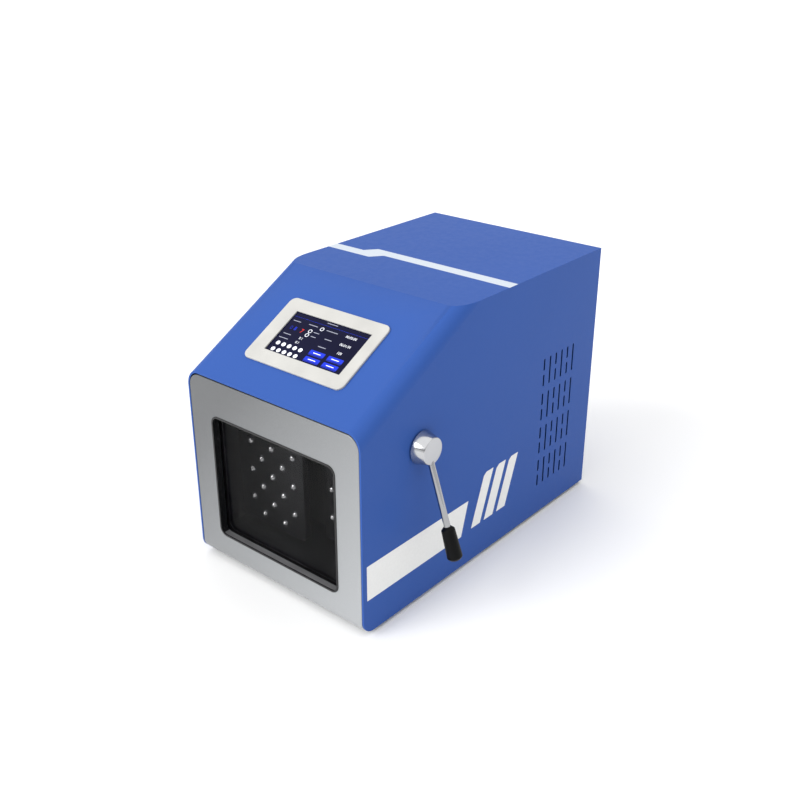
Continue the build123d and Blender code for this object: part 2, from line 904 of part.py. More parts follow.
def hinge_brackets():
    """Curved arms from the pan that reach round the door's foot to the hinge pins."""
    neck_y = hinge_y + toe_radius + hinge_leg_gap
    neck_z = hinge_z + toe_radius + hinge_neck_rise
    turn = disc(hinge_y + toe_radius - hinge_turn_inset, neck_z, hinge_arm_radius)
    start = disc(hinge_y + hinge_arm_start_back, hinge_z + hinge_arm_start_up, hinge_arm_radius)
    end = disc(neck_y + hinge_leg / 2, neck_z, hinge_arm_radius)
    arm = make_hull([*start.edges(), *turn.edges()])
    arm += make_hull([*turn.edges(), *end.edges()])
    arm += rectangle(neck_y, neck_y + hinge_leg, pan_top, neck_z)
    boss = disc(hinge_y, hinge_z, hinge_boss_radius)
    bore = disc(hinge_y, hinge_z, hinge_pin_radius + running_gap)
    bracket = along_x(arm + boss - bore, hinge_x, hinge_x + hinge_plate)
    bracket += along_x(boss - bore, hinge_x, hinge_x + hinge_boss_width)
    bracket += block(hinge_x - hinge_pad, hinge_x + hinge_plate, neck_y, neck_y + hinge_leg,
                     pan_top, pan_top + hinge_pad_thickness)
    return both_sides(bracket)


# Chamber

def guide_places():
    """(x, z) of the four guide shafts."""
    return [(side * paddle_x, paddle_z + up * guide_half_spacing) for side in (-1, 1) for up in (-1, 1)]


def chamber_liner():
    """Stainless box, open at the front, with a narrow flange round its mouth."""
    inside = rectangle(-chamber_half, chamber_half, liner_floor_z, liner_ceiling_z)
    outside = rectangle(-chamber_half - liner_sheet, chamber_half + liner_sheet,
                        liner_floor_z - liner_sheet, liner_ceiling_z + liner_sheet)
    rim = rectangle(-chamber_half - liner_flange, chamber_half + liner_flange,
                    liner_floor_z - liner_flange, liner_ceiling_z + liner_flange)
    liner = along_y(outside - inside, liner_front, liner_back + liner_sheet)
    liner += along_y(rim - inside, liner_front, liner_front + liner_sheet)
    back = inside
    for x, z in guide_places():
        back -= disc(x, z, guide_radius + shaft_hole_gap)
    liner += along_y(back, liner_back, liner_back + liner_sheet)
    return liner


def chamber_gasket():
    """Rubber seal on the flange of the chamber."""
    inside = rectangle(-chamber_half, chamber_half, liner_floor_z, liner_ceiling_z)
    rim = rounded(0, liner_middle_z, 2 * (chamber_half + liner_flange),
                  chamber_height + 2 * liner_flange, gasket_corner)
    return along_y(rim - inside, liner_front - gasket_thickness, liner_front)


def shaft_wipers():
    """Rubber wipers that keep spills off the guide shafts."""
    wipers = Part()
    for x, z in guide_places():
        ring = disc(x, z, wiper_radius) - disc(x, z, guide_radius + wiper_gap)
        wipers += along_y(ring, liner_back - wiper_thickness, liner_back)
    return wipers


def bearing_plate():
    """Aluminium plate behind the chamber that carries the guide bushes, with a ribbed foot."""
    half = paddle_x + guide_radius + bush_wall + bearing_plate_margin
    top = paddle_z + guide_half_spacing + guide_radius + bush_wall + bearing_plate_margin
    outline = rectangle(-half, half, pan_top, top)
    outline = fillet(outline.vertices().group_by(Axis.Y)[-1], bearing_plate_corner)
    for x, z in guide_places():
        outline -= disc(x, z, guide_radius + bush_wall)
    back = plate_y + bearing_plate_thickness
    plate = along_y(outline, plate_y, back)
    plate += block(-half, half, back, back + plate_foot, pan_top, pan_top + plate_foot_thickness)
    rib_top = paddle_z - guide_half_spacing - bush_flange_radius - rib_gap
    rib = Polygon((back, pan_top), (back + plate_foot, pan_top), (back + plate_foot, pan_top + rib_end),
                  (back, rib_top))
    for x in (-half, -rib_width / 2, half - rib_width):
        plate += along_x(rib, x, x + rib_width)
    return plate


def guide_bushes():
    """Flanged bushes, their flanges behind the bearing plate."""
    bushes = Part()
    flange_y = plate_y + bearing_plate_thickness
    for x, z in guide_places():
        bore = disc(x, z, guide_radius + running_gap)
        bushes += along_y(disc(x, z, guide_radius + bush_wall) - bore, plate_y, plate_y + bush_length)
        bushes += along_y(disc(x, z, bush_flange_radius) - bore, flange_y, flange_y + bush_flange)
    return bushes


# Paddles. Side -1 is the left paddle, forward at rest, and side 1 is the right one, back at rest.

def rest_shift(side):
    """How far back of its forward place a paddle stands at rest."""
    return 0.0 if side < 0 else stroke


def paddle_plate(side):
    """Stainless plate that strikes the bag."""
    front = paddle_forward_y + rest_shift(side)
    outline = rounded(side * paddle_x, paddle_z, paddle_width, paddle_height, paddle_corner)
    plate = along_y(outline, front, front + paddle_thickness)
    front_face = plate.faces().sort_by(Axis.Y)[0]
    return chamfer(front_face.edges(), paddle_edge)


def stud_places(side):
    """(x, z) of the studs: rows of three with rows of two between and beyond them."""
    places = []
    middle_x = side * (paddle_x - stud_shift_inwards)
    rows = 2 * stud_full_rows + 1
    for row in range(rows):
        z = paddle_z + (row - (rows - 1) / 2) * stud_pitch_z / 2
        across = (-1, 0, 1) if row % 2 else (-0.5, 0.5)
        for step in across:
            places.append((middle_x + step * stud_pitch_x, z))
    return places


def paddle_studs(side):
    """Domed studs on the face of a paddle."""
    front = paddle_forward_y + rest_shift(side)
    cap_radius = (stud_radius ** 2 + stud_rise ** 2) / (2 * stud_rise)
    tip = (0, stud_base + stud_rise)
    half_profile = make_face(Polyline((0, 0), (stud_radius, 0), (stud_radius, stud_base))
                             + RadiusArc((stud_radius, stud_base), tip, -cap_radius)
                             + Line(tip, (0, 0)))
    stud = revolve(Plane.XZ * half_profile, Axis.Z)
    stud = Rot(90, 0, 0) * stud
    studs = Part()
    for x, z in stud_places(side):
        studs += Pos(x, front, z) * stud
    return studs


def guide_shafts(side):
    """Two ground shafts from the paddle through the bushes to the crosshead."""
    start = paddle_forward_y + rest_shift(side) + paddle_thickness
    end = crosshead_forward_y + rest_shift(side) + crosshead_thickness
    shafts = Part()
    for up in (-1, 1):
        outline = disc(side * paddle_x, paddle_z + up * guide_half_spacing, guide_radius)
        shafts += along_y(outline, start, end)
    return shafts


def crosshead(side):
    """Bar that joins the two shafts, with a fork for the connecting rod."""
    front = crosshead_forward_y + rest_shift(side)
    back = front + crosshead_thickness
    x = side * paddle_x
    outline = rounded(x, paddle_z, 2 * crosshead_half_width,
                      2 * (guide_half_spacing + crosshead_end), crosshead_corner)
    for up in (-1, 1):
        outline -= disc(x, paddle_z + up * guide_half_spacing, guide_radius)
    bar = along_y(outline, front, back)
    eye_y = back + fork_reach
    cheek = rectangle(back - over, eye_y, crank_z - fork_eye_radius, crank_z + fork_eye_radius)
    cheek += disc(eye_y, crank_z, fork_eye_radius)
    cheek -= disc(eye_y, crank_z, wrist_radius + running_gap)
    inner = rod_web / 2 + fork_side_gap
    bar += along_x(cheek, x + inner, x + inner + fork_cheek)
    bar += along_x(cheek, x - inner - fork_cheek, x - inner)
    return bar


# Crank train

def cam_y(side):
    """Where the centre of an eccentric lies at rest."""
    return crank_y + side * eccentricity


def wrist_y(side):
    """Where the small end of a connecting rod lies at rest."""
    return cam_y(side) - rod_length


def connecting_rod(side):
    """Rod with a ring round the eccentric, a small eye in the fork and a relief in each face."""
    x = side * paddle_x
    half = rod_web / 2
    ring_radius = cam_radius + cam_gap + rod_ring_wall
    web_half = rod_eye_radius - rod_web_step
    outline = rectangle(wrist_y(side), cam_y(side), crank_z - web_half, crank_z + web_half)
    outline += disc(cam_y(side), crank_z, ring_radius)
    outline += disc(wrist_y(side), crank_z, rod_eye_radius)
    outline -= disc(cam_y(side), crank_z, cam_radius + cam_gap)
    outline -= disc(wrist_y(side), crank_z, wrist_radius)
    rod = along_x(outline, x - half, x + half)
    relief_length = rod_length - ring_radius - rod_eye_radius - rod_slot
    relief_middle = (wrist_y(side) + rod_eye_radius + cam_y(side) - ring_radius) / 2
    relief = Pos(relief_middle, crank_z) * SlotOverall(relief_length, rod_slot)
    rod -= along_x(relief, x + half - rod_slot_depth, x + half + over)
    rod -= along_x(relief, x - half - over, x - half + rod_slot_depth)
    return rod


def wrist_pin(side):
    """Pin in the small eye of a connecting rod."""
    half = rod_web / 2 + fork_side_gap - wrist_end_gap
    x = side * paddle_x
    return along_x(disc(wrist_y(side), crank_z, wrist_radius), x - half, x + half)


def eccentric_cams():
    """Two eccentrics on the crank shaft, set opposite each other."""
    cams = Part()
    for side in (-1, 1):
        outline = disc(cam_y(side), crank_z, cam_radius) - disc(crank_y, crank_z, crank_radius)
        x = side * paddle_x
        cams += along_x(outline, x - cam_width / 2, x + cam_width / 2)
    return cams


def crank_shaft():
    """Shaft across the machine that carries the eccentrics and the large pulley."""
    left = -pulley_position - pulley_width / 2 - shaft_end
    right = stand_position + ball_race_width / 2 + shaft_end
    return along_x(disc(crank_y, crank_z, crank_radius), left, right)


def pulley(y, z, radius, bore):
    """Flat belt pulley with two rims."""
    left = -pulley_position - pulley_width / 2
    right = -pulley_position + pulley_width / 2
    wheel = along_x(disc(y, z, radius), left, right)
    for start in (left, right - pulley_rim_width):
        wheel += along_x(disc(y, z, radius + pulley_rim), start, start + pulley_rim_width)
    return wheel - along_x(disc(y, z, bore), left - over, right + over)


def crank_pulley():
    """Large pulley with a ring of lightening holes."""
    wheel = pulley(crank_y, crank_z, crank_pulley_radius, crank_radius)
    hole_ring = (crank_pulley_radius + crank_radius) / 2
    for step in range(pulley_holes):
        turn = 2 * math.pi * step / pulley_holes
        hole = disc(crank_y + hole_ring * math.cos(turn), crank_z + hole_ring * math.sin(turn),
                    pulley_hole_radius)
        wheel -= along_x(hole, -pulley_position - pulley_width, -pulley_position + pulley_width)
    return wheel


def crank_stands():
    """Two cast pedestals that hold the crank's bearings, the right one on a wider foot."""
    foot_top = pan_top + stand_foot_thickness
    base = rectangle(crank_y - stand_foot_half, crank_y + stand_foot_half, pan_top, foot_top)
    waist = rectangle(crank_y - stand_waist_half, crank_y + stand_waist_half, pan_top, foot_top)
    body = make_hull([*disc(crank_y, crank_z, stand_head_radius).edges(), *waist.edges()])
    outline = body + base - disc(crank_y, crank_z, ball_race_radius)
    left = stand_position - ball_race_width / 2
    right = stand_position + ball_race_width / 2
    stands = both_sides(along_x(outline, left, right))
    return stands + block(left, right + stand_foot_extra, crank_y - stand_foot_half,
                          crank_y + stand_foot_half, pan_top, foot_top)


def crank_bearings():
    """Ball races of the crank."""
    outline = disc(crank_y, crank_z, ball_race_radius)
    outline -= disc(crank_y, crank_z, crank_radius + running_gap)
    half = ball_race_width / 2
    return both_sides(along_x(outline, stand_position - half, stand_position + half))


def drive_belt():
    """Flat belt round the two pulleys."""
    turns = ((crank_y, crank_z, crank_pulley_radius + belt_slack),
             (motor_y, motor_z, motor_pulley_radius + belt_slack))
    inner = []
    outer = []
    for y, z, radius in turns:
        inner += disc(y, z, radius).edges()
        outer += disc(y, z, radius + belt_thickness).edges()
    half = belt_width / 2
    return along_x(make_hull(outer) - make_hull(inner), -pulley_position - half, -pulley_position + half)


def motor_bracket():
    """Angle plate that holds the motor by its face."""
    left = motor_front - motor_plate
    low = motor_y - motor_plate_half
    high = motor_y + motor_plate_half
    outline = rectangle(low, high, pan_top, motor_z + motor_plate_half)
    outline = fillet(outline.vertices().group_by(Axis.Y)[-1], motor_plate_corner)
    outline -= disc(motor_y, motor_z, motor_pilot_radius)
    bracket = along_x(outline, left, motor_front)
    return bracket + block(motor_front, motor_front + motor_plate_foot, low, high,
                           pan_top, pan_top + motor_plate)


def motor_body():
    """Geared motor: a body between two wider end caps, with a pilot in its mounting plate."""
    end = motor_front + motor_length
    cap = disc(motor_y, motor_z, motor_radius)
    body = along_x(disc(motor_y, motor_z, motor_radius - motor_waist_step), motor_front, end)
    body += along_x(cap, motor_front, motor_front + motor_cap)
    body += along_x(cap, end - motor_cap, end)
    body += along_x(disc(motor_y, motor_z, motor_pilot_radius), motor_front - motor_plate, motor_front)
    bore = disc(motor_y, motor_z, motor_shaft_radius + running_gap)
    return body - along_x(bore, motor_front - motor_plate - over, motor_front + motor_shaft_depth)


def motor_shaft():
    """Output shaft of the motor."""
    left = -pulley_position - pulley_width / 2 - shaft_end
    right = motor_front + motor_shaft_depth - shaft_end
    return along_x(disc(motor_y, motor_z, motor_shaft_radius), left, right)


def motor_pulley():
    """Small pulley on the motor's shaft."""
    return pulley(motor_y, motor_z, motor_pulley_radius, motor_shaft_radius)


# Lever and latch

def rod_point(distance):
    """Point at a distance down the lever's rod from the middle of the hub."""
    tilt = math.radians(rod_tilt)
    start_x = half_width + rod_root
    return (start_x + distance * math.sin(tilt), lever_y, lever_z - distance * math.cos(tilt))


def rod_plane(distance):
    """Plane across the lever's rod, its normal pointing to the grip."""
    tilt = math.radians(rod_tilt)
    return Plane(origin=rod_point(distance), x_dir=(0, 1, 0), z_dir=(math.sin(tilt), 0, -math.cos(tilt)))


def rod_cylinder(radius, start, end):
    """Cylinder along the lever's rod between two distances from the hub."""
    plane = rod_plane(start)
    return extrude(plane * Circle(radius), end - start, dir=plane.z_dir)


def lever_hub():
    """Turned hub, a cone with a flat face, bored for the shaft and for the rod."""
    start = half_width + hub_wall_gap
    end = half_width + hub_height
    profile = Polygon((start, 0), (end, 0), (end, hub_face_radius - hub_edge),
                      (end - hub_edge, hub_face_radius), (start + hub_edge, hub_base_radius),
                      (start, hub_base_radius - hub_edge))
    hub = Pos(0, lever_y, lever_z) * revolve(profile, Axis.X)
    hub -= along_x(disc(lever_y, lever_z, latch_shaft_radius), start - over, end - hub_face_wall)
    return hub - rod_cylinder(rod_radius, rod_start, lever_reach)


def lever_rod():
    """Chromed rod from the hub to the grip."""
    return rod_cylinder(rod_radius, rod_start, lever_reach - grip_end_wall)


def lever_grip():
    """Moulded grip, a little thicker at its end."""
    half_profile = Polygon((0, 0), (grip_small_radius - grip_shoulder, 0),
                           (grip_small_radius, grip_shoulder),
                           (grip_large_radius, grip_length - grip_shoulder),
                           (grip_large_radius - grip_shoulder, grip_length), (0, grip_length))
    shoulders = [vertex for vertex in half_profile.vertices() if vertex.X > near]
    half_profile = fillet(shoulders, grip_edge)
    shape = revolve(Plane.XZ * half_profile, Axis.Z)
    grip = rod_plane(grip_start) * shape
    return grip - rod_cylinder(rod_radius, grip_start - over, lever_reach - grip_end_wall)


def latch_shaft():
    """Shaft across the machine that the lever turns."""
    left = -hook_x - hook_thickness - latch_shaft_end
    right = half_width + hub_height - hub_face_wall
    return along_x(disc(lever_y, lever_z, latch_shaft_radius), left, right)


def lever_bush():
    """Flanged bush of the latch shaft in the right wall."""
    bore = disc(lever_y, lever_z, latch_shaft_radius + running_gap)
    bush = along_x(disc(lever_y, lever_z, latch_bush_radius) - bore, inner_half, half_width)
    flange = disc(lever_y, lever_z, latch_bush_flange_radius) - bore
    return bush + along_x(flange, inner_half - latch_bush_flange, inner_half)


def latch_blocks():
    """Bearing blocks of the latch shaft on the ceiling of the chamber."""
    seat = liner_ceiling_z + liner_sheet
    foot = latch_block_radius + latch_block_foot
    sides = rectangle(lever_y - latch_block_radius, lever_y + latch_block_radius, seat, lever_z)
    outline = disc(lever_y, lever_z, latch_block_radius) + sides
    outline &= rectangle(lever_y - foot, lever_y + foot, seat, lever_z + 2 * latch_block_radius)
    outline += rectangle(lever_y - foot, lever_y + foot, seat, seat + latch_block_foot_thickness)
    outline -= disc(lever_y, lever_z, latch_shaft_radius + running_gap)
    x = chamber_half - latch_block_inset
    return both_sides(along_x(outline, x, x + latch_block_width))


def latch_hooks():
    """Two hooks whose noses run on arcs about the shaft and catch the striker pins."""
    across = striker_y - lever_y
    up = striker_z - lever_z
    distance = math.hypot(across, up)
    angle = math.degrees(math.atan2(up, across))
    pin_half_angle = math.degrees(math.asin((striker_radius + hook_gap) / distance))
    inner = distance + striker_radius + hook_gap
    outer = inner + hook_nose
    arm_end = angle - pin_half_angle
    arm_start = arm_end - hook_arm_angle
    nose = ring_sector(lever_y, lever_z, inner, outer, arm_start, angle + hook_lead_angle)
    arm = ring_sector(lever_y, lever_z, hook_hub_radius - hook_arm_root, outer, arm_start, arm_end)
    outline = nose + arm + disc(lever_y, lever_z, hook_hub_radius)
    outline -= disc(lever_y, lever_z, latch_shaft_radius)
    return both_sides(along_x(outline, hook_x, hook_x + hook_thickness))


# Electrics

def fan_frame():
    """Square frame of the cooling fan, with struts that hold its hub."""
    front = panel_front - fan_depth
    outline = rounded(fan_x, fan_z, fan_size, fan_size, fan_corner) - disc(fan_x, fan_z, fan_bore_radius)
    for x, z in fan_screw_places():
        outline -= disc(x, z, screw_radius + screw_gap)
    frame = along_y(outline, front, panel_front)
    struts = disc(fan_x, fan_z, fan_hub_radius)
    reach = fan_bore_radius + over
    for turn in (45, 135, 225, 315):
        bar = Rot(0, 0, turn) * Pos(reach / 2, 0) * Rectangle(reach, fan_strut_width)
        struts += Pos(fan_x, fan_z) * bar
    struts -= disc(fan_x, fan_z, fan_pin_radius + running_gap)
    return frame + along_y(struts, front, front + fan_strut_thickness)


def fan_rotor():
    """Hub and pitched blades of the fan, with the pin they turn on."""
    front = panel_front - fan_depth + fan_strut_thickness + fan_front_gap
    back = panel_front - fan_back_gap
    rotor = along_y(disc(fan_x, fan_z, fan_hub_radius), front, back)
    rotor += along_y(disc(fan_x, fan_z, fan_pin_radius), panel_front - fan_depth, front)
    root = fan_hub_radius - fan_blade_root
    tip = fan_bore_radius - fan_blade_gap
    chord = (back - front - fan_blade_thickness) / math.cos(math.radians(fan_blade_angle))
    blade = Rot(fan_blade_angle, 0, 0) * Box(tip - root, fan_blade_thickness, chord)
    blade = Rot(90, 0, 0) * Pos((tip + root) / 2, 0, 0) * blade
    for step in range(fan_blades):
        turned = Rot(0, 360 / fan_blades * step, 0) * blade
        rotor += Pos(fan_x, (front + back) / 2, fan_z) * turned
    return rotor


def mains_inlet():
    """Power inlet with three pins in a socket."""
    face = panel_back + plate_rise
    floor = face - socket_depth
    body = along_y(rounded(inlet_x, inlet_z, socket_width, socket_height, socket_corner),
                   floor - socket_back_wall, panel_back)
    flange = rounded(inlet_x, inlet_z, socket_width + 2 * socket_flange_side,
                     socket_height + 2 * socket_flange_end, socket_flange_corner)
    body += along_y(flange, panel_back, face)
    cavity = rounded(inlet_x, inlet_z, socket_width - 2 * socket_wall, socket_height - 2 * socket_wall,
                     socket_cavity_corner)
    body -= along_y(cavity, floor, face + over)
    places = ((-contact_spread, -contact_drop), (contact_spread, -contact_drop), (0, contact_drop))
    for across, up in places:
        contact = Pos(inlet_x + across, inlet_z + up) * Rectangle(contact_width, contact_height)
        body += along_y(contact, floor - over, face - contact_setback)
    return body


def switch_bezel():
    """Frame of the power switch."""
    face = rounded(switch_x, inlet_z, switch_width + 2 * switch_lip, switch_height + 2 * switch_lip,
                   switch_face_corner)
    body = rounded(switch_x, inlet_z, switch_width, switch_height, switch_corner)
    opening = Pos(switch_x, inlet_z) * Rectangle(rocker_width + 2 * rocker_side_gap,
                                                 2 * (rocker_radius + rocker_end_gap))
    back = panel_back - switch_depth
    bezel = along_y(face, panel_back, panel_back + plate_rise)
    bezel += along_y(body, back, panel_back)
    bezel -= along_y(opening, back + switch_floor, panel_back + plate_rise + over)
    pin_hole = disc(rocker_pivot_y, inlet_z, rocker_pin_radius)
    reach = switch_width / 2 + over
    return bezel - along_x(pin_hole, switch_x - reach, switch_x + reach)


def power_rocker():
    """Rocker of the power switch, tipped to its off side at rest, on a small cross pin."""
    half_swing = rocker_swing / 2
    reach = 2 * rocker_radius
    cap = disc(0, 0, rocker_radius) & rectangle(-rocker_skirt, reach, -reach, reach)
    for turn in (-half_swing, half_swing):
        cap &= Rot(0, 0, turn) * rectangle(-rocker_radius, rocker_rise, -reach, reach)
    outline = Pos(rocker_pivot_y, inlet_z) * Rot(0, 0, half_swing) * cap
    half = rocker_width / 2
    rocker = along_x(outline, switch_x - half, switch_x + half)
    pin = disc(rocker_pivot_y, inlet_z, rocker_pin_radius - running_gap)
    return rocker + along_x(pin, switch_x - half - rocker_pin_end, switch_x + half + rocker_pin_end)


def power_supply():
    """Power supply in a sheet case, with a column of terminals in one corner."""
    top = pan_top + supply_height
    notch_right = supply_left + terminal_recess
    notch_back = supply_front + terminal_depth
    case = block(supply_left, supply_right, supply_front, supply_back, pan_top, top)
    case -= block(supply_left - over, notch_right, supply_front - over, notch_back,
                  pan_top + terminal_floor, top + over)
    for step in range(math.floor((supply_height - terminal_first) / terminal_pitch)):
        z = pan_top + terminal_first + step * terminal_pitch
        case += block(supply_left + terminal_setback, notch_right, supply_front + terminal_setback,
                      notch_back, z, z + terminal_height)
    return case


def control_board():
    """Motor control board on standoffs behind the rear panel, with its large parts."""
    back = panel_front - board_standoff
    front = back - board_thickness
    low = board_z - board_height / 2
    high = board_z + board_height / 2
    board = block(board_left, board_right, front, back, low, high)
    for x in (board_left + standoff_inset, board_right - standoff_inset):
        for z in (low + standoff_inset, high - standoff_inset):
            board += along_y(disc(x, z, standoff_radius), back, panel_front)
    for step in range(capacitors):
        x = board_left + capacitor_inset + step * capacitor_pitch
        can = disc(x, low + capacitor_level, capacitor_radius)
        board += along_y(can, front - capacitor_length, front)
    sink_right = board_right - sink_inset
    sink_left = sink_right - sink_width
    sink_low = low + sink_level
    sink_tip = front - sink_depth
    sink = block(sink_left, sink_right, sink_tip, front, sink_low, sink_low + sink_height)
    for step in range(sink_grooves):
        groove = sink_tip + sink_fin + step * (sink_fin + sink_groove)
        sink -= block(sink_left - over, sink_right - sink_web, groove, groove + sink_groove,
                      sink_low - over, sink_low + sink_height + over)
    board += sink
    board += block(board_left + connector_inset, board_right - connector_side, front - connector_depth,
                   front, high - connector_top - connector_height, high - connector_top)
    return board


pieces = {
    "housing_shell": housing_shell(),
    "base_pan": base_pan(),
    "rear_panel": rear_panel(),
    "rear_screws": rear_screws(),
    "rubber_feet": rubber_feet(),
    "foot_screws": foot_screws(),
    "display_bezel": display_bezel(),
    "display_panel": display_panel(),
    "display_board": display_board(),
    "door_panel": door_panel(),
    "window_frame": window_frame(),
    "window_pane": window_pane(),
    "door_inner_plate": door_inner_plate(),
    "door_screws": door_screws(),
    "striker_horns": striker_horns(),
    "striker_pins": striker_pins(),
    "hinge_pins": hinge_pins(),
    "hinge_brackets": hinge_brackets(),
    "chamber_liner": chamber_liner(),
    "chamber_gasket": chamber_gasket(),
    "shaft_wipers": shaft_wipers(),
    "bearing_plate": bearing_plate(),
    "guide_bushes": guide_bushes(),
    "eccentric_cams": eccentric_cams(),
    "crank_shaft": crank_shaft(),
    "crank_pulley": crank_pulley(),
    "crank_stands": crank_stands(),
    "crank_bearings": crank_bearings(),
    "drive_belt": drive_belt(),
    "motor_bracket": motor_bracket(),
    "motor_body": motor_body(),
    "motor_shaft": motor_shaft(),
    "motor_pulley": motor_pulley(),
    "lever_hub": lever_hub(),
    "lever_rod": lever_rod(),
    "lever_grip": lever_grip(),
    "latch_shaft": latch_shaft(),
    "lever_bush": lever_bush(),
    "latch_blocks": latch_blocks(),
    "latch_hooks": latch_hooks(),
    "fan_frame": fan_frame(),
    "fan_rotor": fan_rotor(),
    "mains_inlet": mains_inlet(),
    "switch_bezel": switch_bezel(),
    "power_rocker": power_rocker(),
    "power_supply": power_supply(),
    "control_board": control_board(),
}
for side, name in ((-1, "left"), (1, "right")):
    pieces["paddle_plate_" + name] = paddle_plate(side)
    pieces["paddle_studs_" + name] = paddle_studs(side)
    pieces["guide_shafts_" + name] = guide_shafts(side)
    pieces["crosshead_" + name] = crosshead(side)
    pieces["connecting_rod_" + name] = connecting_rod(side)
    pieces["wrist_pin_" + name] = wrist_pin(side)

for node, shape in pieces.items():
    export_step(shape, "parts/" + node + ".step")
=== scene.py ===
"""Looks of the paddle blender homogenizer: coats, prints, display, window, lever and the inner finishes.

Every length is in metres, in the machine's own frame: the origin on the bench under the middle of the
housing, +X to the operator's right, +Y to the back and +Z up.
"""
import json
import math

import bmesh
import bpy
import numpy as np
from bpy.props import FloatProperty, FloatVectorProperty, IntProperty, PointerProperty
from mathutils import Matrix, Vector


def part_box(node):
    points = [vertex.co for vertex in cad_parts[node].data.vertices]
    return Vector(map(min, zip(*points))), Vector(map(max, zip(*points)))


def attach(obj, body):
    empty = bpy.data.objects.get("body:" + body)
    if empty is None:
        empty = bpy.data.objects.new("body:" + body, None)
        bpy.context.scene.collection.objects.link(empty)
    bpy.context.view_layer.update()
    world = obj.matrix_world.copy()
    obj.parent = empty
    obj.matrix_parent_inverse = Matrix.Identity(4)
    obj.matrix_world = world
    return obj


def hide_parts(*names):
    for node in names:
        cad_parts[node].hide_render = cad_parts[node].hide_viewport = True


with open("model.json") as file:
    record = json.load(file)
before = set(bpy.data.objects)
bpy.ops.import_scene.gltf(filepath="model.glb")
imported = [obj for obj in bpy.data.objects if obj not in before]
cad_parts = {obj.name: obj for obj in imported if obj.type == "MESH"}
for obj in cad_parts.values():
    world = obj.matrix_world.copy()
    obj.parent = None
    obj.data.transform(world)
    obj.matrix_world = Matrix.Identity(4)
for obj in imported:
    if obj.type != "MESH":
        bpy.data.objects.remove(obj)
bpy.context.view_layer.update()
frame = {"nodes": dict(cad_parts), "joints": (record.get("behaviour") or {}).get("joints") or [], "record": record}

bl_info = {
    "name": "Paddle blender looks",
    "version": (1, 0, 0),
    "blender": (4, 5, 0),
    "location": "View3D > Sidebar > Paddle blender",
    "description": "Dresses the frame of a bench paddle blender and sets its stage",
    "category": "Object",
}

BODY_OF = {node: body for body, nodes in frame["record"]["behaviour"]["bodies"].items() for node in nodes}

# Sensor in millimetres, corners and thickness of films, spacing of screws, angle in degrees within which faces
# count as flat, then depths and steps of the vent walls' painted shade, the window ledge's painted highlight, the
# lever's hub and its leaning rod
SENSOR_WIDTH = 36.0
PRINT_CORNER, FILM = 0.0004, 0.00006
HEAD_SPACING = 0.008
FLAT_WITHIN = 0.4
WALL_SHADE_DEPTH = 0.0005
LEDGE_DEPTH, LEDGE_RISE = 0.0015, 0.0055
HUB_FOOT, HUB_BAND, HUB_TAPER = 0.0006, 0.0014, 0.0041
ROD_REACH, ROD_THICK, ROD_LEAN = 0.040336, 0.007, math.radians(18.5)


def paint(red, green, blue):
    """Linear colour of a paint chip given in display values from 0 to 255."""
    chip = np.array([red, green, blue]) / 255.0
    linear = np.where(chip <= 0.04045, chip / 12.92, ((chip + 0.055) / 1.055) ** 2.4)
    return tuple(float(part) for part in linear)


def length(name, description, default):
    """A property that holds a length."""
    return FloatProperty(name=name, description=description, default=default, unit="LENGTH", subtype="DISTANCE",
                         precision=5)


def colour(name, description, chip):
    """A property that holds a colour."""
    return FloatVectorProperty(name=name, description=description, default=paint(*chip), size=3, min=0.0,
                               max=1.0, subtype="COLOR")


def angle(name, description, degrees):
    """A property that holds an angle."""
    return FloatProperty(name=name, description=description, default=math.radians(degrees), unit="ROTATION",
                         subtype="ANGLE")


def strength(name, description, default):
    """A property that holds the strength of a light."""
    return FloatProperty(name=name, description=description, default=default, min=0.0)


class BlenderColours(bpy.types.PropertyGroup):
    """Colours of the finishes"""
    coat_blue: colour("Blue coat", "Powder coat of cover and rear panel", (52, 86, 158))
    print_white: colour("Print", "Ink of the label and the bars", (228, 228, 226))
    print_top: colour("Top print", "Ink of the stripe on the top", (196, 204, 214))
    door_silver: colour("Door silver", "Satin coat of the front panel", (143, 145, 147))
    frame_white: colour("Display frame", "Off-white moulding round the screen", (187, 186, 182))
    screen_navy: colour("Screen", "Dark ground of the lit screen", (14, 15, 44))
    key_blue: colour("Screen keys", "Blue keys on the screen", (28, 50, 190))
    frame_black: colour("Window frame", "Gloss black moulding in the door", (24, 24, 26))
    moulding_black: colour("Black moulding", "Grip, fan, inlet and switch", (7, 7, 8))
    pane_smoke: colour("Pane", "Smoke tint of the window", (9, 9, 11))
    floor_pale: colour("Floor", "Plain pale floor of the stage", (243, 243, 243))


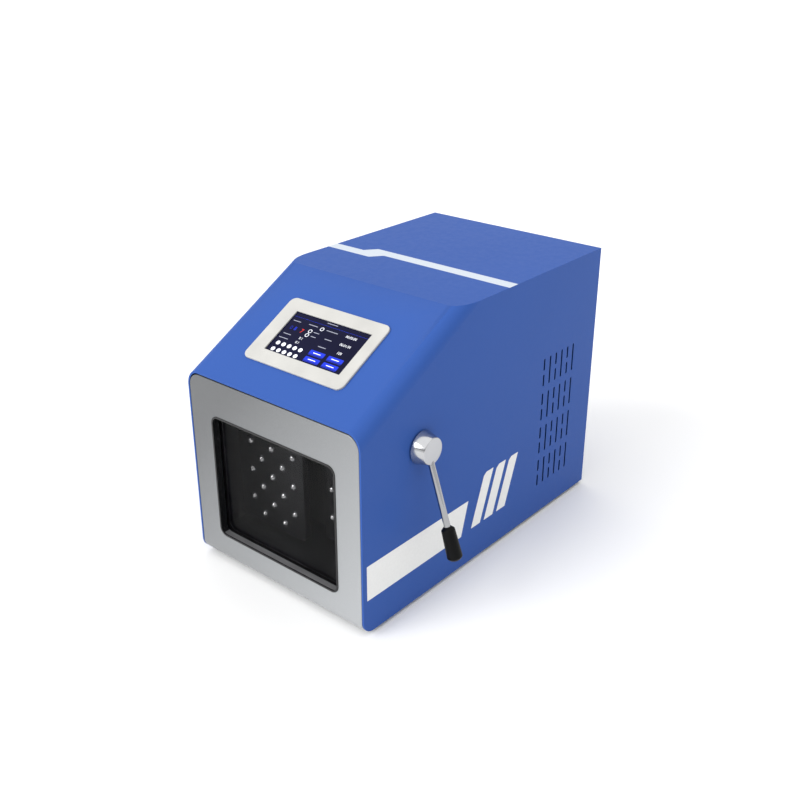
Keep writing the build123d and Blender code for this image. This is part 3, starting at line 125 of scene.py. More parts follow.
class BlenderPrint(bpy.types.PropertyGroup):
    """White artwork of plain shapes on the cover"""
    thickness: length("Ink thickness", "How far the print stands off the coat", 0.0001)
    label_start: length("Label start", "From the front face to the label", 0.006)
    label_end_top: length("Label end, top", "From the front face to the label's upper end", 0.1737)
    label_end_low: length("Label end, foot", "From the front face to the label's lower end", 0.162)
    label_low: length("Label foot", "From the cover's foot to the label", 0.040)
    label_high: length("Label top", "From the cover's foot to the label's top", 0.081)
    bars: IntProperty(name="Bars", description="How many slanted bars", default=3, min=1, max=8)
    bar_start: length("First bar", "From the front face to the first bar", 0.1804)
    bar_width: length("Bar width", "Width of a bar along the side", 0.0167)
    bar_pitch: length("Bar pitch", "From one bar to the next", 0.0243)
    bar_lean: length("Bar lean", "How far a bar's top lies behind its foot", 0.0227)
    bar_low: length("Bar foot", "From the cover's foot to the bars", 0.042)
    bar_high: length("Bar top", "From the cover's foot to the bars' top", 0.104)
    bar_clip: length("Bar clip", "Length cut off each bar's front top corner", 0.0035)
    stripe_front: length("Stripe front", "From the front face to the stripe's left end", 0.2215)
    stripe_width: length("Stripe width", "Width of the top stripe", 0.0155)
    stripe_step: length("Stripe step", "How far the stripe steps back at its jog", 0.0140)
    stripe_jog: length("Stripe jog", "Where the jog starts, from the middle to the left", 0.061)
    stripe_jog_run: length("Jog run", "Length of the jog across the machine", 0.011)


class BlenderDisplay(bpy.types.PropertyGroup):
    """Layout of the lit screen, from its middle: across, and up the slope"""
    slope_run: length("Slope run", "Depth of the sloping panel seen from above", 0.151)
    slope_rise: length("Slope rise", "Height of the sloping panel seen from the front", 0.083)
    digit_height: length("Digit height", "Height of the values on the screen", 0.0050)
    line: length("Text line", "Thickness of a bar that stands for a caption", 0.0009)
    key_width: length("Key width", "Width of a blue key", 0.0205)
    key_height: length("Key height", "Height of a blue key", 0.0068)
    dot_radius: length("Dot radius", "Radius of a level dot", 0.0026)
    dot_pitch: length("Dot pitch", "From one level dot to the next", 0.0082)
    dots: IntProperty(name="Dots", description="Level dots in a row", default=5, min=1, max=10)
    ring_radius: length("Ring radius", "Radius of a choice ring", 0.0021)


class BlenderEdges(bpy.types.PropertyGroup):
    """Softened edges and small turned forms"""
    sheet_edge: length("Sheet edge", "Width of the softened edge of bent sheet", 0.0005)
    moulded_edge: length("Moulded edge", "Width of the softened edge of mouldings", 0.0004)
    machined_edge: length("Machined edge", "Width of the chamfer on machined pieces", 0.0003)
    screw_socket: length("Screw socket", "Half width of the screws' sockets", 0.0012)


class BlenderStage(bpy.types.PropertyGroup):
    """Camera, floor and studio light"""
    camera_place: FloatVectorProperty(name="Camera place", description="Where the camera stands", size=3,
                                      default=(0.6984, -0.8333, 0.6670), unit="LENGTH", subtype="XYZ")
    camera_turn: angle("Camera turn", "Turn to the left from looking along +Y", 40.21)
    camera_dip: angle("Camera dip", "Angle below level", 25.15)
    lens: FloatProperty(name="Lens", description="Focal length on a 36 mm sensor", default=46.17,
                        unit="CAMERA")
    floor_half: length("Floor half width", "Half the width of the floor", 20.0)
    key_from: FloatVectorProperty(name="Key from", description="Direction the key light comes from", size=3,
                                  default=(-0.22, -0.60, 0.36), subtype="DIRECTION")
    key_strength: strength("Key light", "Strength of the key light", 2.0)
    key_spread: angle("Key spread", "Width of the key light seen from the machine", 40.0)
    sky_horizon: strength("Horizon", "Extra strength of the surround at the horizon", 0.74)
    sky_belt: strength("Belt", "Strength of the surround in its dim belt", 0.26)
    sky_high: strength("High surround", "Strength of the surround overhead", 1.35)


def placed(name, data):
    """Object of some data, in the scene."""
    thing = bpy.data.objects.new(name, data)
    bpy.context.scene.collection.objects.link(thing)
    return thing


def coordinates(mesh):
    """Every vertex of a mesh as an (n, 3) array."""
    places = np.empty(len(mesh.vertices) * 3)
    mesh.vertices.foreach_get("co", places)
    return places.reshape(-1, 3)


def merged(mesh, smooth, flat_within=0.0):
    """A mesh with double vertices joined, normals turned outwards and smooth shading up to an angle. Faces
    that are flat within an angle may be joined too."""
    clean = bmesh.new()
    clean.from_mesh(mesh)
    bmesh.ops.remove_doubles(clean, verts=clean.verts, dist=1e-6)
    if flat_within > 0:
        bmesh.ops.dissolve_limit(clean, angle_limit=math.radians(flat_within), verts=clean.verts,
                                 edges=clean.edges)
    bmesh.ops.recalc_face_normals(clean, faces=clean.faces)
    clean.to_mesh(mesh)
    clean.free()
    mesh.polygons.foreach_set("use_smooth", np.ones(len(mesh.polygons), bool))
    mesh.set_sharp_from_angle(angle=math.radians(smooth))
    return mesh


def set_sockets(node, values):
    """Constants of a node's named inputs."""
    for name, value in values.items():
        node.inputs[name].default_value = value


# Surfaces

def unit(vectors):
    """Vectors of the last axis brought to length one."""
    return vectors / np.linalg.norm(vectors, axis=-1, keepdims=True)


def corner_arcs(points, radii, steps=6):
    """Outline whose corners become arcs that touch both sides. An arc's centre lies on the corner's bisector,
    at radius / sin(half the corner's angle)."""
    points = np.asarray(points, float)
    radii = np.broadcast_to(np.asarray(radii, float), len(points))
    before = unit(np.roll(points, 1, axis=0) - points)
    after = unit(np.roll(points, -1, axis=0) - points)
    half = np.arccos(np.clip((before * after).sum(axis=1), -1, 1)) / 2
    reach = radii / np.tan(half)
    centre = points + unit(before + after) * (radii / np.sin(half))[:, None]
    start = points + before * reach[:, None] - centre
    end = points + after * reach[:, None] - centre
    share = np.linspace(0, 1, steps + 1)
    swing = math.pi - 2 * half
    weight_a = np.sin(swing[:, None] * (1 - share)) / np.sin(swing)[:, None]
    weight_b = np.sin(swing[:, None] * share) / np.sin(swing)[:, None]
    arc = centre[:, None] + weight_a[..., None] * start[:, None] + weight_b[..., None] * end[:, None]
    return arc.reshape(-1, 2)


def rounded_box(half_a, half_b, radius, steps=6):
    """Rounded rectangle about the origin of a plane, anticlockwise."""
    corners = [(-half_a, -half_b), (half_a, -half_b), (half_a, half_b), (-half_a, half_b)]
    return corner_arcs(corners, radius, steps)


def circle(radius, count=40):
    """Circle about the origin of a plane, anticlockwise: radius times the cosine and sine of the turn."""
    turn = np.arange(count) * 2 * math.pi / count
    return radius * np.stack([np.cos(turn), np.sin(turn)], axis=1)


def outline_normals(outline):
    """Vectors out of an anticlockwise outline, long enough to keep the sides at an even distance."""
    forward = unit(np.roll(outline, -1, axis=0) - outline)
    back = unit(outline - np.roll(outline, 1, axis=0))
    side = unit(forward + back)
    spread = np.sqrt(np.clip((1 + (forward * back).sum(axis=1)) / 2, 0.2, 1))
    return np.stack([side[:, 1], -side[:, 0]], axis=1) / spread[:, None]


def place_on(plane, flat, height):
    """Points of a plane, (origin, across, up, out), from flat (n, 2) places and heights above it."""
    origin, across, up, out = (np.asarray(part, float) for part in plane)
    height = np.broadcast_to(height, flat.shape[:-1])
    return origin + flat[..., :1] * across + flat[..., 1:] * up + height[..., None] * out


def grid_faces(rows, columns, wrap_rows=False):
    """Quads of a grid whose columns close on themselves, and whose rows may too."""
    row = np.arange(rows if wrap_rows else rows - 1)
    column = np.arange(columns)
    a, b = np.meshgrid(row, column, indexing="ij")
    next_a, next_b = (a + 1) % rows, (b + 1) % columns
    return np.stack([a * columns + b, a * columns + next_b, next_a * columns + next_b,
                     next_a * columns + b], axis=-1).reshape(-1, 4)


def build(name, shells, smooth=40.0):
    """Object from a list of shells, each (points, faces)."""
    points = np.concatenate([shell[0].reshape(-1, 3) for shell in shells])
    faces = []
    start = 0
    for shell_points, shell_faces in shells:
        faces += [tuple(int(corner) + start for corner in face) for face in shell_faces]
        start += shell_points.reshape(-1, 3).shape[0]
    mesh = bpy.data.meshes.new(name)
    mesh.from_pydata(points.tolist(), [], faces)
    return placed(name, merged(mesh, smooth))


def slab(outline, plane, foot, top):
    """Shell of a flat plate between two heights above a plane."""
    outline = np.asarray(outline, float)
    points = place_on(plane, np.stack([outline, outline]), np.array([[foot], [top]]))
    count = len(outline)
    faces = grid_faces(2, count).tolist()
    faces.append(list(range(count))[::-1])
    faces.append(list(range(count, 2 * count)))
    return points, faces


def ring_sweep(path, profile, plane):
    """Shell of a moulding: a closed profile of (out, height) carried round a closed path. A point lies at
    path + out * the path's normal, and height above the plane."""
    path, profile = np.asarray(path, float), np.asarray(profile, float)
    flat = path + profile[:, None, :1] * outline_normals(path)
    return place_on(plane, flat, profile[:, 1:]), grid_faces(len(profile), len(path), wrap_rows=True)


def turning(profile, origin, axis, count=64):
    """Shell of a profile of (radius, height) turned about an axis through the origin."""
    axis = unit(np.asarray(axis, float))
    side = unit(np.cross(axis, (0.0, 1.0, 0.0) if abs(axis[1]) < 0.9 else (1.0, 0.0, 0.0)))
    other = np.cross(axis, side)
    turn = np.arange(count) * 2 * math.pi / count
    ring = np.cos(turn)[:, None] * side + np.sin(turn)[:, None] * other
    profile = np.asarray(profile, float)
    points = np.asarray(origin, float) + profile[:, None, :1] * ring + profile[:, None, 1:] * axis
    return points, grid_faces(len(profile), count)


def soft_profile(points, radii, steps=5):
    """Open profile with its inner corners rounded."""
    points = np.asarray(points, float)
    inner = corner_arcs(points, np.maximum(radii, 1e-6), steps).reshape(len(points), -1, 2)
    return np.concatenate([points[:1], inner[1:-1].reshape(-1, 2), points[-1:]])


# Finishes

class Finish:
    """A node material under construction, with short ways to the nodes that feed its shader."""

    def __init__(self, name, base, roughness, metallic=0.0, specular=0.5):
        self.material = bpy.data.materials.new(name)
        self.material.use_nodes = True
        self.tree = self.material.node_tree
        self.shader = self.tree.nodes["Principled BSDF"]
        self.base = tuple(base)
        self.roughness = roughness
        set_sockets(self.shader, {"Metallic": metallic, "Roughness": roughness, "Specular IOR Level": specular})
        self.place = self.node("ShaderNodeTexCoord").outputs["Object"]
        self.relief = None

    def node(self, kind, values=None, **settings):
        new = self.tree.nodes.new(kind)
        for name, value in settings.items():
            setattr(new, name, value)
        set_sockets(new, values or {})
        return new

    def wire(self, source, target):
        self.tree.links.new(source, target)

    def feed(self, source, socket):
        self.wire(source, self.shader.inputs[socket])

    def axes(self):
        """Object coordinates apart: the outputs X, Y and Z."""
        apart = self.node("ShaderNodeSeparateXYZ")
        self.wire(self.place, apart.inputs["Vector"])
        return apart.outputs

    def noise(self, scale, detail=2.0, stretch=None):
        """Noise of the object coordinates, which may be scaled apart along the axes."""
        new = self.node("ShaderNodeTexNoise", {"Scale": scale, "Detail": detail})
        source = self.place
        if stretch is not None:
            mapping = self.node("ShaderNodeMapping", {"Scale": stretch})
            self.wire(self.place, mapping.inputs["Vector"])
            source = mapping.outputs["Vector"]
        self.wire(source, new.inputs["Vector"])
        return new.outputs["Fac"]

    def cells(self, scale, output="Distance"):
        new = self.node("ShaderNodeTexVoronoi", {"Scale": scale})
        self.wire(self.place, new.inputs["Vector"])
        return new.outputs[output]

    def maths(self, operation, *values):
        new = self.node("ShaderNodeMath", operation=operation)
        for socket, value in zip(new.inputs, values):
            if isinstance(value, (int, float)):
                socket.default_value = value
            else:
                self.wire(value, socket)
        return new.outputs["Value"]

    def spread(self, source, low, high, to_low, to_high):
        """A value from one range carried into another."""
        new = self.node("ShaderNodeMapRange",
                        {"From Min": low, "From Max": high, "To Min": to_low, "To Max": to_high})
        self.wire(source, new.inputs["Value"])
        return new.outputs["Result"]

    def ramp(self, source, stops):
        new = self.node("ShaderNodeValToRGB")
        ramp = new.color_ramp
        while len(ramp.elements) < len(stops):
            ramp.elements.new(0.5)
        for element, (place, tone) in zip(ramp.elements, stops):
            element.position = place
            element.color = (*tone, 1.0)
        self.wire(source, new.inputs["Fac"])
        return new.outputs["Color"]

    def mottle(self, source, depth):
        """Base colour that wanders by a share."""
        dark = tuple(part * (1 - depth) for part in self.base)
        light = tuple(min(1.0, part * (1 + depth)) for part in self.base)
        self.feed(self.ramp(source, ((0.3, dark), (0.7, light))), "Base Color")
        return self

    def uneven(self, source, depth):
        """Roughness that wanders by a depth."""
        least, most = max(0.0, self.roughness - depth), self.roughness + depth
        self.feed(self.spread(source, 0.3, 0.7, least, most), "Roughness")
        return self

    def bump(self, source, distance, strength=1.0):
        """Relief of the given height in metres, on top of any relief before it."""
        new = self.node("ShaderNodeBump", {"Distance": distance, "Strength": strength})
        self.wire(source, new.inputs["Height"])
        if self.relief is not None:
            self.wire(self.relief, new.inputs["Normal"])
        self.relief = new.outputs["Normal"]
        self.feed(self.relief, "Normal")
        return self


# Each plain finish: roughness, metallic, specular level, then (noise scale, detail, depth) of its tone and of
# its gloss, and (noise scale, detail, height in metres, strength) of its relief.
PLAIN = {
    "moulding": (0.42, 0.0, 0.3, (26.0, 2.0, 0.06), (90.0, 3.0, 0.05), (2200.0, 2.0, 0.00001, 0.4)),
    "rubber": (0.78, 0.0, 0.5, (60.0, 4.0, 0.25), (40.0, 3.0, 0.08), (1500.0, 3.0, 0.00003, 0.5)),
    "chrome": (0.07, 1.0, 0.5, (30.0, 2.0, 0.03), (55.0, 4.0, 0.035), None),
    "casting": (0.55, 0.0, 0.5, (35.0, 4.0, 0.18), (90.0, 3.0, 0.08), (420.0, 4.0, 0.00012, 0.6)),
    "pane": (0.05, 0.0, 0.14, (11.0, 2.0, 0.10), (24.0, 3.0, 0.025), None),
    "glass": (0.14, 0.0, 0.06, (18.0, 2.0, 0.16), (45.0, 3.0, 0.04), None),
    "ink": (0.5, 0.0, 0.5, (420.0, 3.0, 0.02), None, (1600.0, 2.0, 0.000012, 0.4)),
    "floor": (0.75, 0.0, 0.2, (1.3, 2.0, 0.004), None, None),
}
PANE_ALPHA = 0.30
# Share of the coat's tone, and height below which, for the painted shade on the vent slots' walls
WALL_SHADE_SHARE, WALL_SHADE_TOP = 0.10, 0.29
HUB_GLOSS, FACE_DULLNESS, FACE_DEPTH, TURNING_FEED = 0.12, 0.26, 0.0002, 0.00045
TRACK_ROWS, TRACK_COLUMNS = 0.0026, 0.0031


def plain(kind, name, tone, roughness=None, specular=None):
    """A finish of the table above in a tone of its own, such as moulded plastic with a spark-eroded grain,
    rubber with a dusty bloom or chrome with a haze of handling."""
    rough, metallic, shine, cloud, wear, relief = PLAIN[kind]
    finish = Finish(name, tone, rough if roughness is None else roughness, metallic,
                    shine if specular is None else specular)
    finish.mottle(finish.noise(*cloud[:2]), cloud[2])
    if wear:
        finish.uneven(finish.noise(*wear[:2]), wear[2])
    if relief:
        finish.bump(finish.noise(*relief[:2]), *relief[2:])
    if kind == "pane":
        set_sockets(finish.shader, {"Alpha": PANE_ALPHA})
    return finish.material


def powder_coat(name, tone, roughness=0.36, shaded_within=None):
    """Cured powder: a fine orange peel, a faint cloud in tone and gloss. Cut walls and inner sides nearer to
    the middle than the given width, behind the middle and below a set height, get painted shade: a dark tone."""
    finish = Finish(name, tone, roughness, specular=0.07)
    finish.mottle(finish.noise(9.0, 3.0), 0.012)
    if shaded_within is not None:
        # Painted shade: the vent slots' walls, towards the back and below the top, are darkened to a share of the
        # tone
        axes = finish.axes()
        within = finish.maths("LESS_THAN", finish.maths("ABSOLUTE", axes["X"]), shaded_within)
        behind = finish.maths("GREATER_THAN", axes["Y"], 0.0)
        below = finish.maths("LESS_THAN", axes["Z"], WALL_SHADE_TOP)
        inside = finish.maths("MULTIPLY", finish.maths("MULTIPLY", within, behind), below)
        painted_wall_shade = (*[part * WALL_SHADE_SHARE for part in tone], 1.0)
        blend = finish.node("ShaderNodeMix", {"B": painted_wall_shade}, data_type="RGBA")
        finish.wire(inside, blend.inputs["Factor"])
        finish.wire(finish.shader.inputs["Base Color"].links[0].from_socket, blend.inputs["A"])
        finish.feed(blend.outputs["Result"], "Base Color")
    finish.uneven(finish.noise(160.0, 2.0), 0.04)
    return finish.bump(finish.noise(700.0, 2.0), 0.00001, 0.08).material


def satin_silver(name, tone):
    """Silver coat with fine flake: tiny cells that differ in tone, under a satin gloss. Painted shade makes the
    tone darker towards the top and the left, and lighter towards the bottom and the right."""
    finish = Finish(name, tone, 0.36, metallic=0.4)
    axes = finish.axes()
    flake = finish.maths("MULTIPLY", finish.maths("SUBTRACT", finish.cells(4200.0, "Color"), 0.5), 0.10)
    # Painted shade: the tone falls towards the top and the left of the door
    painted_shade_slope = finish.maths("ADD", finish.spread(axes["Z"], 0.0, 0.24, 0.46, 0.20),
                        finish.spread(axes["X"], -0.125, 0.125, 0.0, 0.28))
    finish.mottle(finish.maths("ADD", flake, painted_shade_slope), 0.50)
    finish.uneven(finish.noise(120.0, 2.0), 0.05)
    return finish.bump(finish.noise(1400.0, 2.0), 0.00001, 0.3).material


def moulding_with_painted_ledge_highlight(name, tone, ledge_highlight_tone, front, foot):
    """Gloss black moulding whose lower ledge, behind the front plane and below the foot height, carries a
    painted highlight: a lighter grey that wanders along it."""
    finish = Finish(name, tone, 0.2, specular=0.4)
    axes = finish.axes()
    # Painted highlight: a lighter grey is laid on the lower ledge, behind the front plane and below the foot
    # height
    deep = finish.maths("GREATER_THAN", axes["Y"], front)
    ledge = finish.maths("MULTIPLY", deep, finish.maths("LESS_THAN", axes["Z"], foot))
    highlight_spread = finish.spread(finish.noise(55.0, 3.0, (0.3, 1, 1)), 0.3, 0.7, 0.55, 1.0)
    painted_ledge_highlight = finish.maths("MULTIPLY", ledge, highlight_spread)
    finish.feed(finish.ramp(painted_ledge_highlight, ((0.0, finish.base), (1.0, ledge_highlight_tone))), "Base Color")
    return finish.uneven(finish.noise(90.0, 3.0), 0.05).material


def brushed(name, tone, roughness, grain, depth=0.000006, scale=900.0):
    """Brushed or ground metal: noise drawn out along the grain, in tone, gloss and relief."""
    finish = Finish(name, tone, roughness, metallic=1.0)
    lines = finish.noise(scale, 3.0, grain)
    finish.mottle(lines, 0.10)
    finish.uneven(finish.noise(22.0, 3.0), 0.06)
    return finish.bump(lines, depth, 0.5).material


def turned_chrome(name, tone, axis_y, axis_z, face_x):
    """Chromed hub with a fine turned outer face: its rings are a wave of the distance from the axis."""
    finish = Finish(name, tone, HUB_GLOSS, metallic=1.0)
    axes = finish.axes()
    across = finish.maths("SUBTRACT", axes["Y"], axis_y)
    up = finish.maths("SUBTRACT", axes["Z"], axis_z)
    reach = finish.maths("SQRT", finish.maths("ADD", finish.maths("MULTIPLY", across, across),
                                              finish.maths("MULTIPLY", up, up)))
    rings = finish.maths("SINE", finish.maths("MULTIPLY", reach, 2 * math.pi / TURNING_FEED))
    on_face = finish.maths("GREATER_THAN", axes["X"], face_x - FACE_DEPTH)
    finish.mottle(finish.noise(40.0, 2.0), 0.03)
    finish.feed(finish.maths("ADD", finish.maths("MULTIPLY", on_face, FACE_DULLNESS), HUB_GLOSS), "Roughness")
    return finish.bump(finish.maths("MULTIPLY", rings, on_face), 0.000004, 0.6).material


def zinc(name):
    """Zinc plate: soft spangle cells in tone and gloss over a bluish grey."""
    finish = Finish(name, (0.50, 0.52, 0.55), 0.36, metallic=1.0)
    finish.mottle(finish.cells(240.0, "Color"), 0.12)
    finish.uneven(finish.noise(70.0, 3.0), 0.10)
    return finish.bump(finish.noise(800.0, 2.0), 0.000008, 0.4).material


def sintered(name):
    """Sintered bronze: open pores as small dark cells."""
    finish = Finish(name, (0.52, 0.33, 0.14), 0.42, metallic=1.0)
    pores = finish.cells(1800.0)
    finish.mottle(pores, 0.22)
    return finish.bump(pores, 0.00002, 0.5).material


def circuit_board(name):
    """Solder mask over copper: a grid of tracks from two stepped waves, broken up by cells."""
    finish = Finish(name, (0.010, 0.10, 0.035), 0.34)
    axes = finish.axes()
    rows = finish.maths("SINE", finish.maths("MULTIPLY", axes["Z"], 2 * math.pi / TRACK_ROWS))
    columns = finish.maths("SINE", finish.maths("MULTIPLY", axes["X"], 2 * math.pi / TRACK_COLUMNS))
    blocks = finish.maths("GREATER_THAN", finish.cells(95.0, "Color"), 0.5)
    tracks = finish.maths("GREATER_THAN", finish.maths(
        "ADD", finish.maths("MULTIPLY", rows, blocks),
        finish.maths("MULTIPLY", columns, finish.maths("SUBTRACT", 1.0, blocks))), 0.55)
    finish.feed(finish.ramp(tracks, ((0.0, finish.base), (1.0, (0.05, 0.24, 0.09)))), "Base Color")
    return finish.bump(tracks, 0.00003, 0.5).material


def lit(name, tone, glow):
    """Ink of the lit screen: a colour that glows a little, with a fine cell pattern."""
    finish = Finish(name, tone, 0.25, specular=0.1)
    finish.mottle(finish.cells(5200.0, "Color"), 0.07)
    set_sockets(finish.shader, {"Emission Color": (*tone, 1.0), "Emission Strength": glow})
    return finish.material


# Dressing

def settle(piece, material, node):
    """Finish of a new piece, and the body of a frame node."""
    piece.data.materials.clear()
    piece.data.materials.append(material)
    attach(piece, BODY_OF[node])


def films(name, outlines, plane, foot, top, material, node):
    """Thin plates of ink or light between two heights, as one piece."""
    settle(build(name, [slab(outline, plane, foot, top) for outline in outlines]), material, node)


def coat(nodes, material):
    """Finish for frame nodes that keep their own mesh."""
    for node in nodes:
        shape = frame["nodes"][node]
        if not shape.material_slots:
            shape.data.materials.append(material)
        for slot in shape.material_slots:
            slot.link = "OBJECT"
            slot.material = material


def soften(node, material, edge, smooth=32.0):
    """A merged copy of a frame node that stands for it, its sharp edges rounded by a small bevel."""
    mesh = frame["nodes"][node].data.copy()
    mesh.name = node + "_finish"
    piece = placed(mesh.name, merged(mesh, smooth, FLAT_WITHIN))
    if edge > 0:
        bevel = piece.modifiers.new("Softened edges", "BEVEL")
        bevel.width = edge
        bevel.segments = 2
        bevel.limit_method = "ANGLE"
        bevel.angle_limit = math.radians(smooth)
        bevel.miter_outer = "MITER_ARC"
    even = piece.modifiers.new("Even shading", "WEIGHTED_NORMAL")
    even.keep_sharp = edge <= 0
    settle(piece, material, node)
    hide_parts(node)


def low(node):
    """Lowest corner of a node as an array."""
    return np.array(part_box(node)[0])


def high(node):
    """Highest corner of a node as an array."""
    return np.array(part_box(node)[1])


def coordinates_of(node):
    """Every vertex of a frame node as an (n, 3) array."""
    return coordinates(frame["nodes"][node].data)


# Operators

class PADDLE_OT_cover(bpy.types.Operator):
    """Finishes the cover, the rear panel, the pan, the feet and the fixings"""
    bl_idname = "paddle.cover"
    bl_label = "Cover and base"

    def execute(self, context):
        tones, edges = context.scene.paddle_colours, context.scene.paddle_edges
        # Cut walls of the vent slots, deeper than this below the side, get painted shade
        shaded_within = float(high("housing_shell")[0]) - WALL_SHADE_DEPTH
        soften("housing_shell", powder_coat("blue_cover_coat", tones.coat_blue, shaded_within=shaded_within), edges.sheet_edge)
        soften("rear_panel", powder_coat("blue_powder_coat", tones.coat_blue), edges.sheet_edge)
        coat(("base_pan", "foot_screws", "hinge_brackets", "motor_bracket", "door_screws", "striker_horns",
              "latch_hooks"), zinc("zinc_plate"))
        soften("rubber_feet", plain("rubber", "foot_rubber", paint(22, 22, 23)), edges.moulded_edge)
        return {"FINISHED"}


class PADDLE_OT_print(bpy.types.Operator):
    """Prints the label, the slanted bars and the stepped stripe as thin films of ink"""
    bl_idname = "paddle.print"
    bl_label = "White print"

    def execute(self, context):
        sizes = context.scene.paddle_print
        ink = plain("ink", "white_ink", context.scene.paddle_colours.print_white)
        (_, face, foot), (right, _, peak) = low("housing_shell"), high("housing_shell")
        side = ((right, face, foot), (0, 1, 0), (0, 0, 1), (1, 0, 0))
        top = ((0, face, peak), (1, 0, 0), (0, 1, 0), (0, 0, 1))
        label = [(sizes.label_start, sizes.label_low), (sizes.label_end_low, sizes.label_low),
                 (sizes.label_end_top, sizes.label_high), (sizes.label_start, sizes.label_high)]
        clip = sizes.bar_clip
        slant = sizes.bar_lean / (sizes.bar_high - sizes.bar_low)
        bar = np.array([(0, sizes.bar_low), (sizes.bar_width, sizes.bar_low),
                        (sizes.bar_lean + sizes.bar_width, sizes.bar_high),
                        (sizes.bar_lean + clip, sizes.bar_high),
                        (sizes.bar_lean - clip * slant, sizes.bar_high - clip)])
        bars = [bar + (sizes.bar_start + step * sizes.bar_pitch, 0) for step in range(sizes.bars)]
        for name, outlines in (("side_label", [label]), ("side_bars", bars)):
            rounded = [corner_arcs(outline, PRINT_CORNER, 3) for outline in outlines]
            films(name, rounded, side, 0, sizes.thickness, ink, "display_bezel")
        front, wide = sizes.stripe_front, sizes.stripe_width
        jog, run, step = -sizes.stripe_jog, sizes.stripe_jog_run, sizes.stripe_step
        stripe = [(-right, front), (jog, front), (jog + run, front + step), (right, front + step),
                  (right, front + step + wide), (jog - run, front + step + wide),
                  (jog - 2 * run, front + wide), (-right, front + wide)]
        upper_ink = plain("ink", "white_ink_top", context.scene.paddle_colours.print_top)
        films("top_stripe", [stripe], top, 0, sizes.thickness, upper_ink, "display_bezel")
        return {"FINISHED"}


class PADDLE_OT_display(bpy.types.Operator):
    """Makes the display's frame and the lit screen with its numbers, rings, dots and keys"""
    bl_idname = "paddle.display"
    bl_label = "Display"

    def execute(self, context):
        tones, sizes = context.scene.paddle_colours, context.scene.paddle_display
        soften("display_bezel", plain("moulding", "display_moulding", tones.frame_white, 0.38),
               context.scene.paddle_edges.moulded_edge)
        coat(("display_panel",), plain("glass", "screen_glass", tones.screen_navy))
        coat(("display_board", "control_board"), circuit_board("circuit_board"))
        self.plane = self.screen_plane(sizes)
        self.white = lit("screen_white", (0.80, 0.82, 0.88), 0.25)
        self.grey = lit("screen_grey", (0.30, 0.31, 0.38), 0.1)
        self.blue = lit("screen_blue", tones.key_blue, 0.25)
        self.deep = lit("screen_deep_blue", tuple(part * 0.45 for part in tones.key_blue), 0.3)
        self.red = lit("screen_red", paint(200, 44, 34), 0.4)
        self.captions(sizes)
        self.choices(sizes)
        self.levels(sizes)
        self.keys(sizes)
        self.values(sizes)
        return {"FINISHED"}

    def screen_plane(self, sizes):
        """The face of the glass, in the slope's directions, from the middle of the glass."""
        run, rise = sizes.slope_run, sizes.slope_rise
        long = math.hypot(run, rise)
        turned = np.array([(1, 0, 0), (0, run / long, rise / long), (0, -rise / long, run / long)])
        spread = coordinates_of("display_panel") @ turned.T
        centre = (spread.min(axis=0) + spread.max(axis=0)) / 2
        centre[2] = spread[:, 2].max()
        return centre @ turned, *turned

    def film(self, name, outlines, material, lift=0.0):
        """Thin films on the glass from a list of outlines."""
        films(name, outlines, self.plane, lift, lift + FILM, material, "display_panel")

    def captions(self, sizes):
        """Plain bars where an instrument shows captions: (across, up, length)."""
        places = ((-0.0001, 0.0263, 0.015), (-0.0442, 0.0170, 0.011), (-0.0210, 0.0178, 0.013),
                  (0.0065, 0.0172, 0.016), (-0.0103, 0.0101, 0.008), (-0.0103, 0.0044, 0.007),
                  (-0.0432, -0.0018, 0.011), (-0.0434, -0.0079, 0.013), (0.0093, 0.0066, 0.010),
                  (0.0093, -0.0042, 0.011))
        bars = [rounded_box(wide / 2, sizes.line / 2, sizes.line * 0.45, 3) + (across, up)
                for across, up, wide in places]
        self.film("screen_captions", bars, self.grey)
        self.film("screen_rule", [rounded_box(0.0520, 0.0001, 0.00005, 2) + (0, 0.0226)], self.blue)

    def choices(self, sizes):
        """Choice rings, each a round moulding swept round a circle."""
        rings = []
        thick = sizes.ring_radius * 0.16
        section = rounded_box(thick, FILM, FILM * 0.5, 2)
        for across, up in ((-0.0076, 0.0168), (-0.0192, 0.0100), (-0.0192, 0.0043)):
            path = circle(sizes.ring_radius) + (across, up)
            rings.append(ring_sweep(path, section + (0.0, FILM), self.plane))
        settle(build("screen_rings", rings), self.white, "display_panel")

    def levels(self, sizes):
        """Two rows of level dots."""
        first = -0.0448
        dots = [circle(sizes.dot_radius, 32) + (first + step * sizes.dot_pitch, up)
                for up in (-0.0155, -0.0243) for step in range(sizes.dots)]
        self.film("screen_dots", dots, self.white)

    def keys(self, sizes):
        """Four keys, each with a bar where an instrument shows a caption."""
        places = ((0.0100, -0.0138), (0.0354, -0.0138), (0.0100, -0.0228), (0.0354, -0.0228))
        half_wide, half_high, line = sizes.key_width / 2, sizes.key_height / 2, sizes.line
        for name, form, rise, material, lift in (
                ("screen_keys", rounded_box(half_wide, half_high, 0.0009), 0, self.blue, 0.0),
                ("screen_key_feet", rounded_box(half_wide, half_high * 0.22, 0.0005), -half_high * 0.74,
                 self.deep, FILM),
                ("screen_key_captions", rounded_box(0.0052, line / 2, line * 0.45, 3), 0.0004,
                 self.white, FILM)):
            self.film(name, [form + (across, up + rise) for across, up in places], material, lift)

    def values(self, sizes):
        """Plain numbers, in outline type."""
        full, small, wide = sizes.digit_height, sizes.digit_height * 0.62, sizes.digit_height * 1.1
        white, blue, deep, red = self.white, self.blue, self.deep, self.red
        for step, (text, across, up, tall, material) in enumerate((
                ("00:05:00", 0.0330, 0.0174, small, white), ("00:01:30", 0.0334, 0.0062, small, white),
                ("120", 0.0338, -0.0044, small, white), ("0", -0.0448, 0.0072, full, deep),
                ("8", -0.0388, 0.0072, full, blue), ("7", -0.0290, 0.0068, wide, red),
                ("0.1", -0.0228, -0.0020, small, white), ("0.1", -0.0230, -0.0080, small, white))):
            self.number("screen_value_%d" % (step + 1), text, across, up, tall, material)

